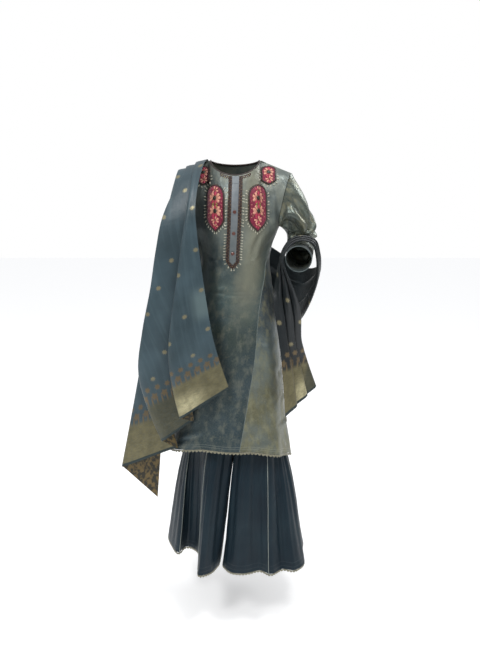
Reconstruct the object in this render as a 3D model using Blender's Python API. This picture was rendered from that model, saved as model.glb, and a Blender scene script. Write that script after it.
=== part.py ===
"""A sharara suit as worn: a kurta (knee-length tunic), a sharara (flared trousers) and a dupatta (long scarf).

The suit faces -Y and the wearer's left is +X. Every piece is a thin wall of cloth. The tables give heights above the
floor that the wearer stands on, and the part's own zero is at the neck sides of the shoulder line.
"""

import math

import bmesh
import bpy
import numpy as np

# Driving dimensions, in metres
SHOULDER_HEIGHT = 1.545
CHEST_HEIGHT = 1.340
KURTA_HEM_HEIGHT = 0.600
NECK_HALF_WIDTH = 0.080
NECK_DROP_FRONT = 0.046
NECK_DROP_BACK = 0.014
NECK_DEPTH_FRONT = 0.090
NECK_DEPTH_BACK = 0.062
SHOULDER_TIP = (0.178, 0.0, 1.507)
ARMPIT = (0.141, 0.005, 1.340)
ARMHOLE_FRONT = 0.050
ARMHOLE_BACK = 0.046
ARMHOLE_INSET = 0.010
BUST_FULLNESS = 0.016
SHARARA_WAIST_HEIGHT = 1.085
SHARARA_HIP_HEIGHT = 0.900
SHARARA_HEM_HEIGHT = 0.215
WAISTBAND_WIDTH = 0.035
BINDING_WIDTH = 0.005
PLACKET_HALF_WIDTH = 0.0105
EDGING_WIDTH = 0.010
LACE_WIDTH = 0.008
PIPING_WIDTH = 0.003
BUTTON_RADIUS = 0.0055

# Cloth thicknesses and clearances
KURTA_CLOTH = 0.0016
SHARARA_CLOTH = 0.0016
DUPATTA_CLOTH = 0.0012
LACE_THICKNESS = 0.0012
BINDING_THICKNESS = 0.0030
PATCH_THICKNESS = 0.0016
PIPING_THICKNESS = 0.0022
SEAM_GAP = 0.0003
LACE_GAP = 0.0006
ARMHOLE_GAP = 0.0016
PATCH_STANDOFF = 0.0019
SHOULDER_PATCH_STANDOFF = 0.0013
PIPING_STANDOFF = 0.0010
BUTTON_STANDOFF = 0.0009

# Colours, linear, as (red, green, blue)
TEAL_BROCADE = (0.135, 0.165, 0.155)
GOLD_BROCADE = (0.190, 0.205, 0.165)
TEAL_SATIN = (0.022, 0.045, 0.055)
DUPATTA_SILK = (0.050, 0.085, 0.095)
CREAM_LACE = (0.420, 0.400, 0.330)
DARK_BINDING = (0.040, 0.022, 0.018)
PINK_THREAD = (0.300, 0.070, 0.080)
BUTTON_METAL = (0.350, 0.330, 0.280)

STEP = 1e-3  # how far apart two points of a surface are read to find its slope


def table(columns, *rows):
    """A short table with named columns."""
    values = np.array(rows, float)
    return {name: values[:, i] for i, name in enumerate(columns.split())}


def read(rows, column, at):
    """A column at a place along the table's first column, on a smooth curve through the rows."""
    places = next(iter(rows.values()))
    values = rows[column]
    at = min(max(at, places.min()), places.max())
    order = np.argsort(places)
    return float(hermite(places[order], values[order], at))


def hermite(places, values, at):
    """Smooth reading between rows: the slope at a row comes from its two neighbours."""
    slopes = np.gradient(values, places, axis=0)
    k = int(min(max(np.searchsorted(places, at) - 1, 0), len(places) - 2))
    span = places[k + 1] - places[k]
    t = (at - places[k]) / span
    start = (2 * t**3 - 3 * t**2 + 1) * values[k] + (t**3 - 2 * t**2 + t) * span * slopes[k]
    end = (3 * t**2 - 2 * t**3) * values[k + 1] + (t**3 - t**2) * span * slopes[k + 1]
    return start + end


def unit(vector):
    return vector / np.linalg.norm(vector)


def cloth(name, colour, roughness=0.6, metallic=0.0):
    """A plain finish in the piece's own colour."""
    material = bpy.data.materials.new(name)
    material.use_nodes = True
    shader = material.node_tree.nodes["Principled BSDF"]
    shader.inputs["Base Color"].default_value = (*colour, 1.0)
    shader.inputs["Roughness"].default_value = roughness
    shader.inputs["Metallic"].default_value = metallic
    return material


def new_piece(name, mesh_builder, material):
    """An object from a bmesh, with its faces turned outwards."""
    bmesh.ops.recalc_face_normals(mesh_builder, faces=mesh_builder.faces)
    mesh = bpy.data.meshes.new(name)
    mesh_builder.to_mesh(mesh)
    mesh_builder.free()
    mesh.shade_smooth()
    mesh.set_sharp_from_angle(angle=math.radians(50))
    mesh.materials.append(material)
    piece = bpy.data.objects.new(name, mesh)
    bpy.context.scene.collection.objects.link(piece)
    return piece


def wall(name, points, normals, thickness, material, closed=False, lifted=0.0):
    """A closed wall from a grid of points, lifted along the normals by so much to its middle."""
    builder = bmesh.new()
    drop = np.array([0.0, 0.0, SHOULDER_HEIGHT])
    skins = []
    for side in (1, -1):
        skin = points + normals * (lifted + side * thickness / 2) - drop
        skins.append([[builder.verts.new(point) for point in row] for row in skin])
    rows = len(points)
    columns = len(points[0])
    last = columns if closed else columns - 1
    for grid in skins:
        for i in range(rows - 1):
            for j in range(last):
                k = (j + 1) % columns
                builder.faces.new((grid[i][j], grid[i][k], grid[i + 1][k]))
                builder.faces.new((grid[i][j], grid[i + 1][k], grid[i + 1][j]))
    outer, inner = skins
    for i in (0, rows - 1):
        for j in range(last):
            k = (j + 1) % columns
            builder.faces.new((outer[i][j], inner[i][j], inner[i][k], outer[i][k]))
    if not closed:
        for j in (0, columns - 1):
            for i in range(rows - 1):
                builder.faces.new((outer[i][j], inner[i][j], inner[i + 1][j], outer[i + 1][j]))
    return new_piece(name, builder, material)


def trim(points, gap, first_row=False, last_row=False, sides=False):
    """Half of a seam's gap taken off the grid's own edges."""
    cut = points.copy()
    if first_row:
        cut[0] += gap / 2 * along(points[1] - points[0])
    if last_row:
        cut[-1] += gap / 2 * along(points[-2] - points[-1])
    if sides:
        cut[:, 0] += gap / 2 * along(points[:, 1] - points[:, 0])
        cut[:, -1] += gap / 2 * along(points[:, -2] - points[:, -1])
    return cut


def along(vectors):
    return vectors / np.maximum(np.linalg.norm(vectors, axis=-1, keepdims=True), 1e-9)


def surface_normal(surface, u, v, low_v=0.0, high_v=2.0):
    """The outward normal of a surface(u, v) whose u runs to the wearer's left in front."""
    left = surface(min(u + STEP, 1.0), v) - surface(max(u - STEP, 0.0), v)
    down = surface(u, min(v + STEP, high_v)) - surface(u, max(v - STEP, low_v))
    return unit(np.cross(down, left))


# Kurta

# The body below the chest, by height: the middle's place across, half its width, and its depth before and behind
# the side seams.
KURTA_RINGS = table(
    "height middle half side front back",
    (1.340, 0.000, 0.141, 0.005, 0.122, 0.095),
    (1.290, 0.000, 0.121, 0.005, 0.110, 0.085),
    (1.240, 0.000, 0.112, 0.005, 0.100, 0.078),
    (1.180, 0.000, 0.119, 0.005, 0.100, 0.084),
    (1.100, -0.002, 0.132, 0.005, 0.110, 0.100),
    (1.000, -0.005, 0.149, 0.003, 0.126, 0.118),
    (0.850, -0.012, 0.172, 0.000, 0.148, 0.138),
    (0.700, -0.020, 0.194, 0.000, 0.168, 0.158),
    (0.600, -0.024, 0.212, 0.000, 0.184, 0.174),
)

# The front hem's height, from the wearer's right side (0) to the left side (1)
FRONT_HEM = table(
    "across height",
    (0.00, 0.580),
    (0.15, 0.612),
    (0.40, 0.640),
    (0.60, 0.632),
    (0.85, 0.590),
    (1.00, 0.556),
)

# The seams of the front's side panels, as shares of the way across
FRONT_SEAMS = table(
    "height right left",
    (1.340, 0.006, 0.994),
    (1.240, 0.090, 0.850),
    (1.114, 0.130, 0.717),
    (0.900, 0.160, 0.640),
    (0.600, 0.184, 0.556),
)

# Soft upright folds of the skirt: where they lie across the front, how wide they are and how far they stand out at
# the hem (below zero, how far they fall in), and the height they start from.
FRONT_FOLDS = table(
    "across width depth start",
    (0.10, 0.045, -0.010, 1.00),
    (0.24, 0.050, 0.008, 0.95),
    (0.37, 0.045, -0.007, 0.90),
    (0.50, 0.050, 0.006, 0.85),
    (0.63, 0.040, -0.009, 1.05),
    (0.74, 0.040, 0.010, 1.05),
    (0.84, 0.035, -0.005, 1.00),
    (0.93, 0.035, 0.007, 0.95),
)
BACK_FOLDS = table(
    "across width depth start",
    (0.09, 0.040, 0.007, 1.00),
    (0.22, 0.045, -0.010, 0.98),
    (0.36, 0.050, 0.009, 1.02),
    (0.50, 0.045, -0.009, 1.05),
    (0.66, 0.050, 0.009, 1.00),
    (0.80, 0.045, -0.010, 0.95),
    (0.92, 0.040, 0.006, 0.98),
)

FRONT_LEVELS = (0, 0.18, 0.36, 0.54, 0.77, 1, 1.07, 1.14, 1.22, 1.32, 1.45, 1.60, 1.74, 1.87, 2)
SHOULDER_COLUMNS = 4
NECK_COLUMNS = 12
SIDE_COLUMNS = 7
SHOULDER_SHARE = 0.28  # how much of the top edge each shoulder seam takes
SKIRT_FULLNESS = 0.05  # how much the hem fills out its corners, before and behind the side seams


def sleeve_hole(turn, behind):
    """A point on the wearer's left armhole: turn 0 is the shoulder tip and 1 the armpit."""
    angle = math.pi * turn
    tip = np.array(SHOULDER_TIP)
    pit = np.array(ARMPIT)
    point = (tip + pit) / 2 + (tip - pit) / 2 * math.cos(angle)
    reach = ARMHOLE_BACK if behind else -ARMHOLE_FRONT
    return point + np.array([-ARMHOLE_INSET, reach, 0.0]) * math.sin(angle)


def mirrored(point):
    return point * np.array([-1.0, 1.0, 1.0])


def top_edge(u, behind):
    """The shoulder seams and the neckline, from the wearer's right (0) to the left (1)."""
    across = 2 * u - 1
    side = abs(across)
    neck = 1 - 2 * SHOULDER_SHARE
    tip = np.array(SHOULDER_TIP)
    if side > neck:
        share = (side - neck) / (1 - neck)
        neck_side = np.array([NECK_HALF_WIDTH, 0.0, SHOULDER_HEIGHT])
        point = neck_side + share * (tip - neck_side)
    else:
        angle = math.pi / 2 * side / neck
        depth = NECK_DEPTH_BACK if behind else -NECK_DEPTH_FRONT
        drop = NECK_DROP_BACK if behind else NECK_DROP_FRONT
        lift = SHOULDER_HEIGHT - drop * math.cos(angle) ** 1.3
        point = np.array([NECK_HALF_WIDTH * math.sin(angle), depth * math.cos(angle), lift])
    return point if across > 0 else mirrored(point)


def body_point(u, height, behind):
    """The plain body below the chest, half way round, with its skirt's folds."""
    angle = math.pi * u
    half = read(KURTA_RINGS, "half", height)
    depth = read(KURTA_RINGS, "back" if behind else "front", height)
    folds = BACK_FOLDS if behind else FRONT_FOLDS
    stand = 0.0
    for across, width, size, start in zip(*folds.values()):
        grown = min(max((start - height) / (start - KURTA_HEM_HEIGHT), 0.0), 1.0)
        stand += size * grown**1.4 * math.exp(-(((u - across) / width) ** 2))
    skirt = (CHEST_HEIGHT - height) / (CHEST_HEIGHT - KURTA_HEM_HEIGHT)
    fuller = 1 + SKIRT_FULLNESS * max(skirt, 0.0) * math.sin(2 * angle) ** 2
    half = half * fuller + stand
    depth = depth * fuller + stand
    return np.array(
        [
            read(KURTA_RINGS, "middle", height) - half * math.cos(angle),
            read(KURTA_RINGS, "side", height) + (1 if behind else -1) * depth * math.sin(angle),
            height,
        ]
    )


def kurta_point(u, level, behind):
    """Level 0 is the top edge, 1 the chest line and 2 the hem."""
    if level >= 1:
        height = CHEST_HEIGHT - (level - 1) * (CHEST_HEIGHT - KURTA_HEM_HEIGHT)
        point = body_point(u, height, behind)
        low = read(FRONT_HEM, "height", u)
        if behind:
            low = read(FRONT_HEM, "height", 0.0) * (1 - u) + read(FRONT_HEM, "height", 1.0) * u
        point[2] = CHEST_HEIGHT - (level - 1) * (CHEST_HEIGHT - low)
        return point
    top = top_edge(u, behind)
    chest = body_point(u, CHEST_HEIGHT, behind)
    bow = sleeve_hole(level, behind) - (1 - level) * np.array(SHOULDER_TIP) - level * np.array(ARMPIT)
    if u < 0.5:
        bow = mirrored(bow)
    point = (1 - level) * top + level * chest + bow * abs(2 * u - 1) ** 2
    fullness = BUST_FULLNESS * math.sin(math.pi * u) ** 2 * math.sin(math.pi * level)
    point[1] += fullness if behind else -fullness
    return point


def front(u, level):
    return kurta_point(u, level, False)


def back(u, level):
    return kurta_point(u, level, True)


def kurta_normal(u, level, behind):
    """The cloth's normal, straight up out of the shoulder seam where front and back meet."""
    surface = back if behind else front
    normal = surface_normal(surface, u, level)
    if behind:
        normal = -normal
    side = abs(2 * u - 1)
    if level == 0 and side > 1 - 2 * SHOULDER_SHARE - 1e-6:
        seam = np.array(SHOULDER_TIP) - np.array([NECK_HALF_WIDTH, 0.0, SHOULDER_HEIGHT])
        slope = unit(np.array([-seam[2], 0.0, seam[0]]))
        return slope if u > 0.5 else mirrored(slope)
    return normal


def seam_share(side, level):
    """Where a side panel's seam runs at a level, as a share of the way across."""
    height = CHEST_HEIGHT - (level - 1) * (CHEST_HEIGHT - KURTA_HEM_HEIGHT)
    return read(FRONT_SEAMS, side, height)


def main_shares():
    """The columns of the front and the back, with one at each neck side and more of them along the neck."""
    neck = 1 - SHOULDER_SHARE
    right = np.linspace(0, SHOULDER_SHARE, SHOULDER_COLUMNS + 1)
    middle = np.linspace(SHOULDER_SHARE, neck, NECK_COLUMNS + 1)
    left = np.linspace(neck, 1, SHOULDER_COLUMNS + 1)
    return np.concatenate([right, middle[1:], left[1:]])


def kurta_grid(behind, levels, start, end, shares):
    """Points and normals between two edges, which are functions of the level."""
    surface = back if behind else front
    points = []
    normals = []
    for level in levels:
        row = start(level) + shares * (end(level) - start(level))
        points.append([surface(u, level) for u in row])
        normals.append([kurta_normal(u, level, behind) for u in row])
    return np.array(points), np.array(normals)


def front_right_edge(level):
    return seam_share("right", level) if level >= 1 else 0.0


def front_left_edge(level):
    return seam_share("left", level) if level >= 1 else 1.0


def make_kurta_body(brocade, gold):
    shares = main_shares()
    points, normals = kurta_grid(False, FRONT_LEVELS, front_right_edge, front_left_edge, shares)
    points = trim(points, SEAM_GAP, first_row=True, sides=True)
    wall("kurta_front", points, normals, KURTA_CLOTH, brocade)
    skirt = [level for level in FRONT_LEVELS if level >= 1]
    for name, start, end, finish in (
        ("kurta_side_panel_right", lambda level: 0.0, front_right_edge, brocade),
        ("kurta_side_panel_left", front_left_edge, lambda level: 1.0, gold),
    ):
        points, normals = kurta_grid(False, skirt, start, end, np.linspace(0, 1, SIDE_COLUMNS + 1))
        wall(name, trim(points, SEAM_GAP, sides=True), normals, KURTA_CLOTH, finish)
    points, normals = kurta_grid(True, FRONT_LEVELS, lambda level: 0.0, lambda level: 1.0, shares)
    points = trim(points, SEAM_GAP, first_row=True, sides=True)
    wall("kurta_back", points, normals, KURTA_CLOTH, brocade)


def make_hem_lace(lace):
    """A scalloped edging that goes on from the hem, in front and behind."""
    for name, behind, scallops in (("hem_lace_front", False, 54), ("hem_lace_back", True, 48)):
        surface = back if behind else front
        points = []
        normals = []
        for step in range(2 * scallops + 1):
            u = 0.001 + 0.998 * step / (2 * scallops)
            hem = surface(u, 2.0)
            down = unit(hem - surface(u, 1.97))
            depth = LACE_WIDTH * (1.0 if step % 2 else 0.62)
            points.append((hem + down * LACE_GAP, hem + down * depth))
            normals.append([kurta_normal(u, 2.0, behind)] * 2)
        points = np.array(points).transpose(1, 0, 2)
        normals = np.array(normals).transpose(1, 0, 2)
        wall(name, points, normals, LACE_THICKNESS, lace)


def make_neck_binding(dark):
    """A rolled edge round the neck, just inside the panels' edge."""
    shares = np.linspace(SHOULDER_SHARE, 1 - SHOULDER_SHARE, NECK_COLUMNS + 1)
    loop = [top_edge(u, False) for u in shares]
    loop += [top_edge(u, True) for u in shares[::-1][1:-1]]
    loop = np.array(loop)
    centre = np.array([0.0, loop[:, 1].mean(), SHOULDER_HEIGHT + 0.02])
    ahead = along(np.roll(loop, -1, axis=0) - np.roll(loop, 1, axis=0))
    inward = centre - loop
    inward = along(inward - ahead * (inward * ahead).sum(axis=1, keepdims=True))
    normals = along(np.cross(inward, ahead))
    start = loop + inward * (SEAM_GAP + KURTA_CLOTH / 2)
    points = np.array([start, start + inward * BINDING_WIDTH])
    wall("neck_binding", points, np.array([normals, normals]), BINDING_THICKNESS, dark, closed=True)


def front_finder():
    """A function that gives the front panel's own point and normal at a real place across and height."""
    points, normals = kurta_grid(False, FRONT_LEVELS, front_right_edge, front_left_edge, main_shares())
    halves = []
    for grid in (points, normals):
        first = (grid[:-1, :-1], grid[:-1, 1:], grid[1:, 1:])
        second = (grid[:-1, :-1], grid[1:, 1:], grid[1:, :-1])
        halves.append([np.concatenate([one.reshape(-1, 3), two.reshape(-1, 3)]) for one, two in zip(first, second)])
    corners, corner_normals = halves
    flat = [corner[:, [0, 2]] for corner in corners]
    side_b = flat[1] - flat[0]
    side_c = flat[2] - flat[0]
    area = side_b[:, 0] * side_c[:, 1] - side_b[:, 1] * side_c[:, 0]

    def find(across, height):
        to_point = np.array([across, height]) - flat[0]
        b = (to_point[:, 0] * side_c[:, 1] - to_point[:, 1] * side_c[:, 0]) / area
        c = (side_b[:, 0] * to_point[:, 1] - side_b[:, 1] * to_point[:, 0]) / area
        weights = np.array([1 - b - c, b, c])
        hit = int(np.argmax(weights.min(axis=0)))
        point = sum(weight[hit] * corner[hit] for weight, corner in zip(weights, corners))
        normal = sum(weight[hit] * corner[hit] for weight, corner in zip(weights, corner_normals))
        return point, unit(normal)

    return find


def strip_on_front(find, name, rows, columns, thickness, lifted, material):
    """A thin piece on the front. Each row gives a height, its middle and its half width."""
    points = []
    normals = []
    for height, middle, half in rows:
        pairs = [find(middle + half * share, height) for share in np.linspace(-1, 1, columns + 1)]
        points.append([point for point, _ in pairs])
        normals.append([normal for _, normal in pairs])
    wall(name, np.array(points), np.array(normals), thickness, material, lifted=lifted)


# An embroidered patch's outline: share of its length from the top, and its half width as a share of its widest
PATCH_OUTLINE = table(
    "down half",
    (0.00, 0.12),
    (0.05, 0.50),
    (0.12, 0.74),
    (0.22, 0.95),
    (0.36, 0.90),
    (0.50, 1.00),
    (0.64, 0.90),
    (0.78, 0.95),
    (0.88, 0.66),
    (0.95, 0.34),
    (1.00, 0.06),
)

# The patches: where the middle lies across, the top and bottom heights, and the widest half width
PATCHES = {
    "bust_patch_right": (-0.059, 1.470, 1.334, 0.026, PATCH_STANDOFF),
    "bust_patch_left": (0.070, 1.470, 1.334, 0.027, PATCH_STANDOFF),
    "shoulder_patch_right": (-0.099, 1.526, 1.472, 0.020, SHOULDER_PATCH_STANDOFF),
    "shoulder_patch_left": (0.105, 1.526, 1.474, 0.022, SHOULDER_PATCH_STANDOFF),
}

PLACKET_MIDDLE = table("height middle", (1.495, 0.003), (1.350, -0.002), (1.238, -0.007), (1.205, -0.007))
PLACKET_TOP = 1.487
PLACKET_BOTTOM = 1.238
EDGING_BOTTOM = 1.212
BUTTON_HEIGHTS = (1.392, 1.328, 1.264)


def make_patches(find, pink):
    for name, (middle, top, bottom, widest, standoff) in PATCHES.items():
        lifted = KURTA_CLOTH / 2 + standoff + PATCH_THICKNESS / 2
        rows = [
            (top - down * (top - bottom), middle, widest * half)
            for down, half in zip(PATCH_OUTLINE["down"], PATCH_OUTLINE["half"])
        ]
        strip_on_front(find, name, rows, 4, PATCH_THICKNESS, lifted, pink)


def make_placket(find, brocade, dark, metal):
    lifted = KURTA_CLOTH / 2 + PATCH_STANDOFF + PATCH_THICKNESS / 2
    heights = np.linspace(PLACKET_TOP, PLACKET_BOTTOM, 9)
    rows = [(h, read(PLACKET_MIDDLE, "middle", h), PLACKET_HALF_WIDTH) for h in heights]
    rows.append((PLACKET_BOTTOM - PLACKET_HALF_WIDTH, PLACKET_MIDDLE["middle"][-1], 0.0012))
    strip_on_front(find, "placket", rows, 2, PATCH_THICKNESS, lifted, brocade)
    sides = []
    for side in (-1, 1):
        column = []
        for h in heights:
            middle = read(PLACKET_MIDDLE, "middle", h)
            inner = middle + side * (PLACKET_HALF_WIDTH + SEAM_GAP + 0.0003)
            column.append((inner, inner + side * EDGING_WIDTH, h, h))
        sides.append(column)
    middle = PLACKET_MIDDLE["middle"][-1]
    inner_tip = PLACKET_BOTTOM - PLACKET_HALF_WIDTH - 0.0022
    tip = [(middle, middle, inner_tip, EDGING_BOTTOM)]
    outline = sides[0] + tip + sides[1][::-1]
    points = []
    normals = []
    for inner, outer, inner_height, outer_height in outline:
        pairs = [find(inner, inner_height), find(outer, outer_height)]
        points.append([point for point, _ in pairs])
        normals.append([normal for _, normal in pairs])
    wall("placket_edging", np.array(points), np.array(normals), PATCH_THICKNESS, dark, lifted=lifted)
    for number, height in enumerate(BUTTON_HEIGHTS, start=1):
        make_button(find, f"button_{number}", height, metal)


def make_button(find, name, height, metal):
    """A low domed button that sits on the placket."""
    point, normal = find(read(PLACKET_MIDDLE, "middle", height), height)
    sideways = unit(np.cross(normal, [0.0, 0.0, 1.0]))
    upward = np.cross(sideways, normal)
    base = KURTA_CLOTH / 2 + PATCH_STANDOFF + PATCH_THICKNESS + BUTTON_STANDOFF
    turns = np.linspace(0, 2 * math.pi, 12, endpoint=False)
    builder = bmesh.new()
    drop = np.array([0.0, 0.0, SHOULDER_HEIGHT])
    rings = []
    for lift, share in ((0.0, 1.0), (0.0014, 1.0), (0.0028, 0.62)):
        centre = point + normal * (base + lift) - drop
        ring = [
            builder.verts.new(centre + BUTTON_RADIUS * share * (math.cos(a) * sideways + math.sin(a) * upward))
            for a in turns
        ]
        rings.append(ring)
    for low, high in zip(rings, rings[1:]):
        for j in range(len(turns)):
            k = (j + 1) % len(turns)
            builder.faces.new((low[j], low[k], high[k], high[j]))
    builder.faces.new(rings[0])
    builder.faces.new(rings[-1])
    new_piece(name, builder, metal)


# Sleeves: the middle of each section, how far the section leans towards hanging level (90 is straight out), how far
# the arm points forwards, how far it turns inwards, and the section's radii out from the body and to the front.
LEFT_SLEEVE = table(
    "share x y height lean forward inward out deep",
    (0.00, 0.1595, 0.0025, 1.4235, 78, 0, 0, 0.0855, 0.0480),
    (0.12, 0.1720, 0.0040, 1.4090, 71, 0, 0, 0.0740, 0.0530),
    (0.28, 0.1930, 0.0100, 1.3730, 44, 0, 0, 0.0550, 0.0550),
    (0.46, 0.2140, 0.0220, 1.3270, 14, 8, 0, 0.0460, 0.0550),
    (0.62, 0.2170, 0.0300, 1.2880, 6, 34, 4, 0.0450, 0.0560),
    (0.76, 0.2130, 0.0020, 1.2640, 4, 68, 12, 0.0430, 0.0480),
    (0.88, 0.2060, -0.0520, 1.2560, 0, 84, 14, 0.0420, 0.0420),
    (1.00, 0.1970, -0.1180, 1.2480, 0, 86, 14, 0.0410, 0.0400),
)
RIGHT_SLEEVE = table(
    "share x y height lean forward inward out deep",
    (0.00, 0.1595, 0.0025, 1.4235, 78, 0, 0, 0.0855, 0.0480),
    (0.10, 0.1670, 0.0060, 1.4080, 74, 0, 0, 0.0710, 0.0500),
    (0.22, 0.1780, 0.0100, 1.3600, 48, 0, 0, 0.0460, 0.0480),
    (0.40, 0.1790, 0.0140, 1.3020, 15, 0, 0, 0.0430, 0.0460),
    (0.70, 0.1860, 0.0140, 1.1850, 5, 0, 0, 0.0410, 0.0440),
    (1.00, 0.1910, 0.0100, 1.0600, 3, 0, 0, 0.0390, 0.0420),
)
SLEEVE_COLUMNS = 16
SLEEVE_ROWS = (0.06, 0.14, 0.22, 0.31, 0.40, 0.49, 0.57, 0.65, 0.73, 0.81, 0.90, 1.0)
PLAIN_SLEEVE_ROWS = (0.05, 0.13, 0.22, 0.32, 0.50, 0.75, 1.0)

# Creases of the bent sleeve: share along it, turn round it (0 outside, a quarter in front), size and reach
SLEEVE_CREASES = table(
    "share turn depth length width",
    (0.30, 0.20, -0.005, 0.07, 0.10),
    (0.44, 0.10, -0.006, 0.05, 0.12),
    (0.55, 0.02, -0.005, 0.04, 0.12),
    (0.62, 0.26, -0.004, 0.05, 0.12),
    (0.74, 0.12, -0.005, 0.05, 0.12),
)


def sleeve_section(sections, share):
    """The middle of a section and its two directions, out from the body and to the front."""
    centre = np.array([read(sections, name, share) for name in ("x", "y", "height")])
    lean, forward, inward = (math.radians(read(sections, n, share)) for n in ("lean", "forward", "inward"))
    out = np.array([math.cos(lean), 0.0, math.sin(lean)])
    ahead = np.array([math.sin(lean), 0.0, -math.cos(lean)])
    to_front = np.array([0.0, -1.0, 0.0])
    to_front = math.cos(forward) * to_front - math.sin(forward) * ahead
    turn = np.array(
        [
            [math.cos(inward), -math.sin(inward), 0.0],
            [math.sin(inward), math.cos(inward), 0.0],
            [0.0, 0.0, 1.0],
        ]
    )
    return centre, turn.T @ out, turn.T @ to_front


def sleeve_point(sections, turn, share, creased):
    centre, out, to_front = sleeve_section(sections, share)
    angle = 2 * math.pi * turn
    grow = 0.0
    if creased:
        for at, around, depth, length, width in zip(*SLEEVE_CREASES.values()):
            away = (turn - around + 0.5) % 1 - 0.5
            grow += depth * math.exp(-(((share - at - 0.6 * away) / length) ** 2) - (away / width) ** 2)
    wide = read(sections, "out", share) + grow
    deep = read(sections, "deep", share) + grow
    return centre + wide * math.cos(angle) * out + deep * math.sin(angle) * to_front


def hole_ring_point(turn):
    """The armhole's whole loop, with turn 0 at the shoulder tip and a quarter at the front."""
    turn = turn % 1
    return sleeve_hole(2 * turn, False) if turn <= 0.5 else sleeve_hole(2 * (1 - turn), True)


def make_sleeve(name, sections, rows, creased, side, material):
    """A tube from just outside the armhole to the cuff."""
    turns = np.arange(SLEEVE_COLUMNS) / SLEEVE_COLUMNS
    first = np.array([hole_ring_point(turn) + np.array([ARMHOLE_GAP, 0.0, 0.0]) for turn in turns])
    grid = [first]
    grid += [np.array([sleeve_point(sections, turn, share, creased) for turn in turns]) for share in rows]
    points = np.array(grid)
    normals = grid_normals(points, closed=True)
    if side < 0:
        points = points * np.array([-1.0, 1.0, 1.0])
        normals = normals * np.array([-1.0, 1.0, 1.0])
    wall(name, points, normals, KURTA_CLOTH, material, closed=True)


def grid_normals(points, closed=False):
    """Normals of a grid from its own points."""
    if closed:
        across = np.roll(points, -1, axis=1) - np.roll(points, 1, axis=1)
    else:
        across = np.gradient(points, axis=1)
    down = np.gradient(points, axis=0)
    return along(np.cross(down, across))


# Sharara

# The legs' shape at the hip, as an ellipse, and how it narrows to the waist
HIP_HALF_WIDTH = 0.136
HIP_FRONT = 0.104
HIP_BACK = 0.106
WAIST_SHARE = 0.910
LEG_GAP = 0.006

# How far the cloth has swung out from the hip to the hem, by the share of the drop between them
SWING = table(
    "fallen swung",
    (0.00, 0.00),
    (0.15, 0.03),
    (0.29, 0.11),
    (0.44, 0.34),
    (0.51, 0.45),
    (0.58, 0.56),
    (0.72, 0.72),
    (0.86, 0.85),
    (1.00, 1.00),
)

# Each leg's hem seen from above: turn round the leg from the front centre by the side to the back centre and along
# the inside, the place of the hem there, and how late the cloth swings out to it.
LEFT_HEM = table(
    "turn x y late",
    (0.00, -0.043, -0.160, 1.8),
    (0.04, -0.020, -0.196, 1.2),
    (0.10, 0.030, -0.207, 1.0),
    (0.16, 0.082, -0.190, 1.0),
    (0.22, 0.118, -0.212, 1.0),
    (0.28, 0.160, -0.182, 1.1),
    (0.33, 0.198, -0.190, 1.2),
    (0.38, 0.234, -0.150, 1.1),
    (0.44, 0.232, -0.080, 1.0),
    (0.49, 0.243, -0.010, 1.0),
    (0.54, 0.220, 0.060, 1.0),
    (0.59, 0.200, 0.130, 1.1),
    (0.64, 0.140, 0.155, 1.2),
    (0.69, 0.090, 0.190, 1.2),
    (0.75, 0.020, 0.175, 1.5),
    (0.81, -0.020, 0.140, 1.6),
    (0.88, -0.030, 0.040, 1.6),
    (0.94, -0.034, -0.060, 1.6),
    (1.00, -0.043, -0.160, 1.8),
)
RIGHT_HEM = table(
    "turn x y late",
    (0.00, -0.055, -0.152, 1.8),
    (0.05, -0.080, -0.200, 1.2),
    (0.11, -0.122, -0.217, 1.0),
    (0.17, -0.122, -0.150, 0.9),
    (0.22, -0.128, -0.088, 0.8),
    (0.27, -0.155, -0.052, 0.8),
    (0.31, -0.180, -0.050, 0.9),
    (0.35, -0.197, -0.086, 1.0),
    (0.41, -0.226, -0.040, 1.0),
    (0.47, -0.247, 0.035, 1.0),
    (0.53, -0.216, 0.095, 1.0),
    (0.58, -0.190, 0.155, 1.1),
    (0.64, -0.145, 0.150, 1.2),
    (0.70, -0.105, 0.195, 1.2),
    (0.76, -0.070, 0.170, 1.5),
    (0.82, -0.062, 0.130, 1.6),
    (0.88, -0.060, 0.040, 1.6),
    (0.94, -0.058, -0.060, 1.6),
    (1.00, -0.055, -0.152, 1.8),
)
BACK_CENTRE_TURN = 0.76

# The legs' panels: where each ends, as a turn round the leg on either side, and how many columns it has
LEG_PANELS = table(
    "left right columns",
    (0.21, 0.14, 8),
    (0.42, 0.35, 9),
    (0.60, 0.56, 9),
    (0.76, 0.76, 8),
)
LEG_PANEL_NAMES = ("front", "front_side", "back_side", "back")
LEG_LEVELS = np.linspace(0, 1, 10)
CROTCH_LEVEL = 3
INNER_COLUMNS = 6
PIPED_SEAMS = ("front", "side", "back")


def leg_point(side, turn, level):
    """Level 0 is the waistband's lower edge and 1 the hem."""
    height = SHARARA_WAIST_HEIGHT + level * (SHARARA_HEM_HEIGHT - SHARARA_WAIST_HEIGHT)
    hem = LEFT_HEM if side > 0 else RIGHT_HEM
    hip = hip_point(side, turn)
    narrowed = min(max((height - SHARARA_HIP_HEIGHT) / (SHARARA_WAIST_HEIGHT - SHARARA_HIP_HEIGHT), 0.0), 1.0)
    hip = hip * np.array([1.0, 1.0]) * (1 - (1 - WAIST_SHARE) * narrowed)
    fallen = min(max((SHARARA_HIP_HEIGHT - height) / (SHARARA_HIP_HEIGHT - SHARARA_HEM_HEIGHT), 0.0), 1.0)
    swing = read(SWING, "swung", fallen) ** read(hem, "late", turn)
    out = np.array([read(hem, "x", turn), read(hem, "y", turn)])
    place = hip + swing * (out - hip)
    return np.array([place[0], place[1], height])


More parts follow.
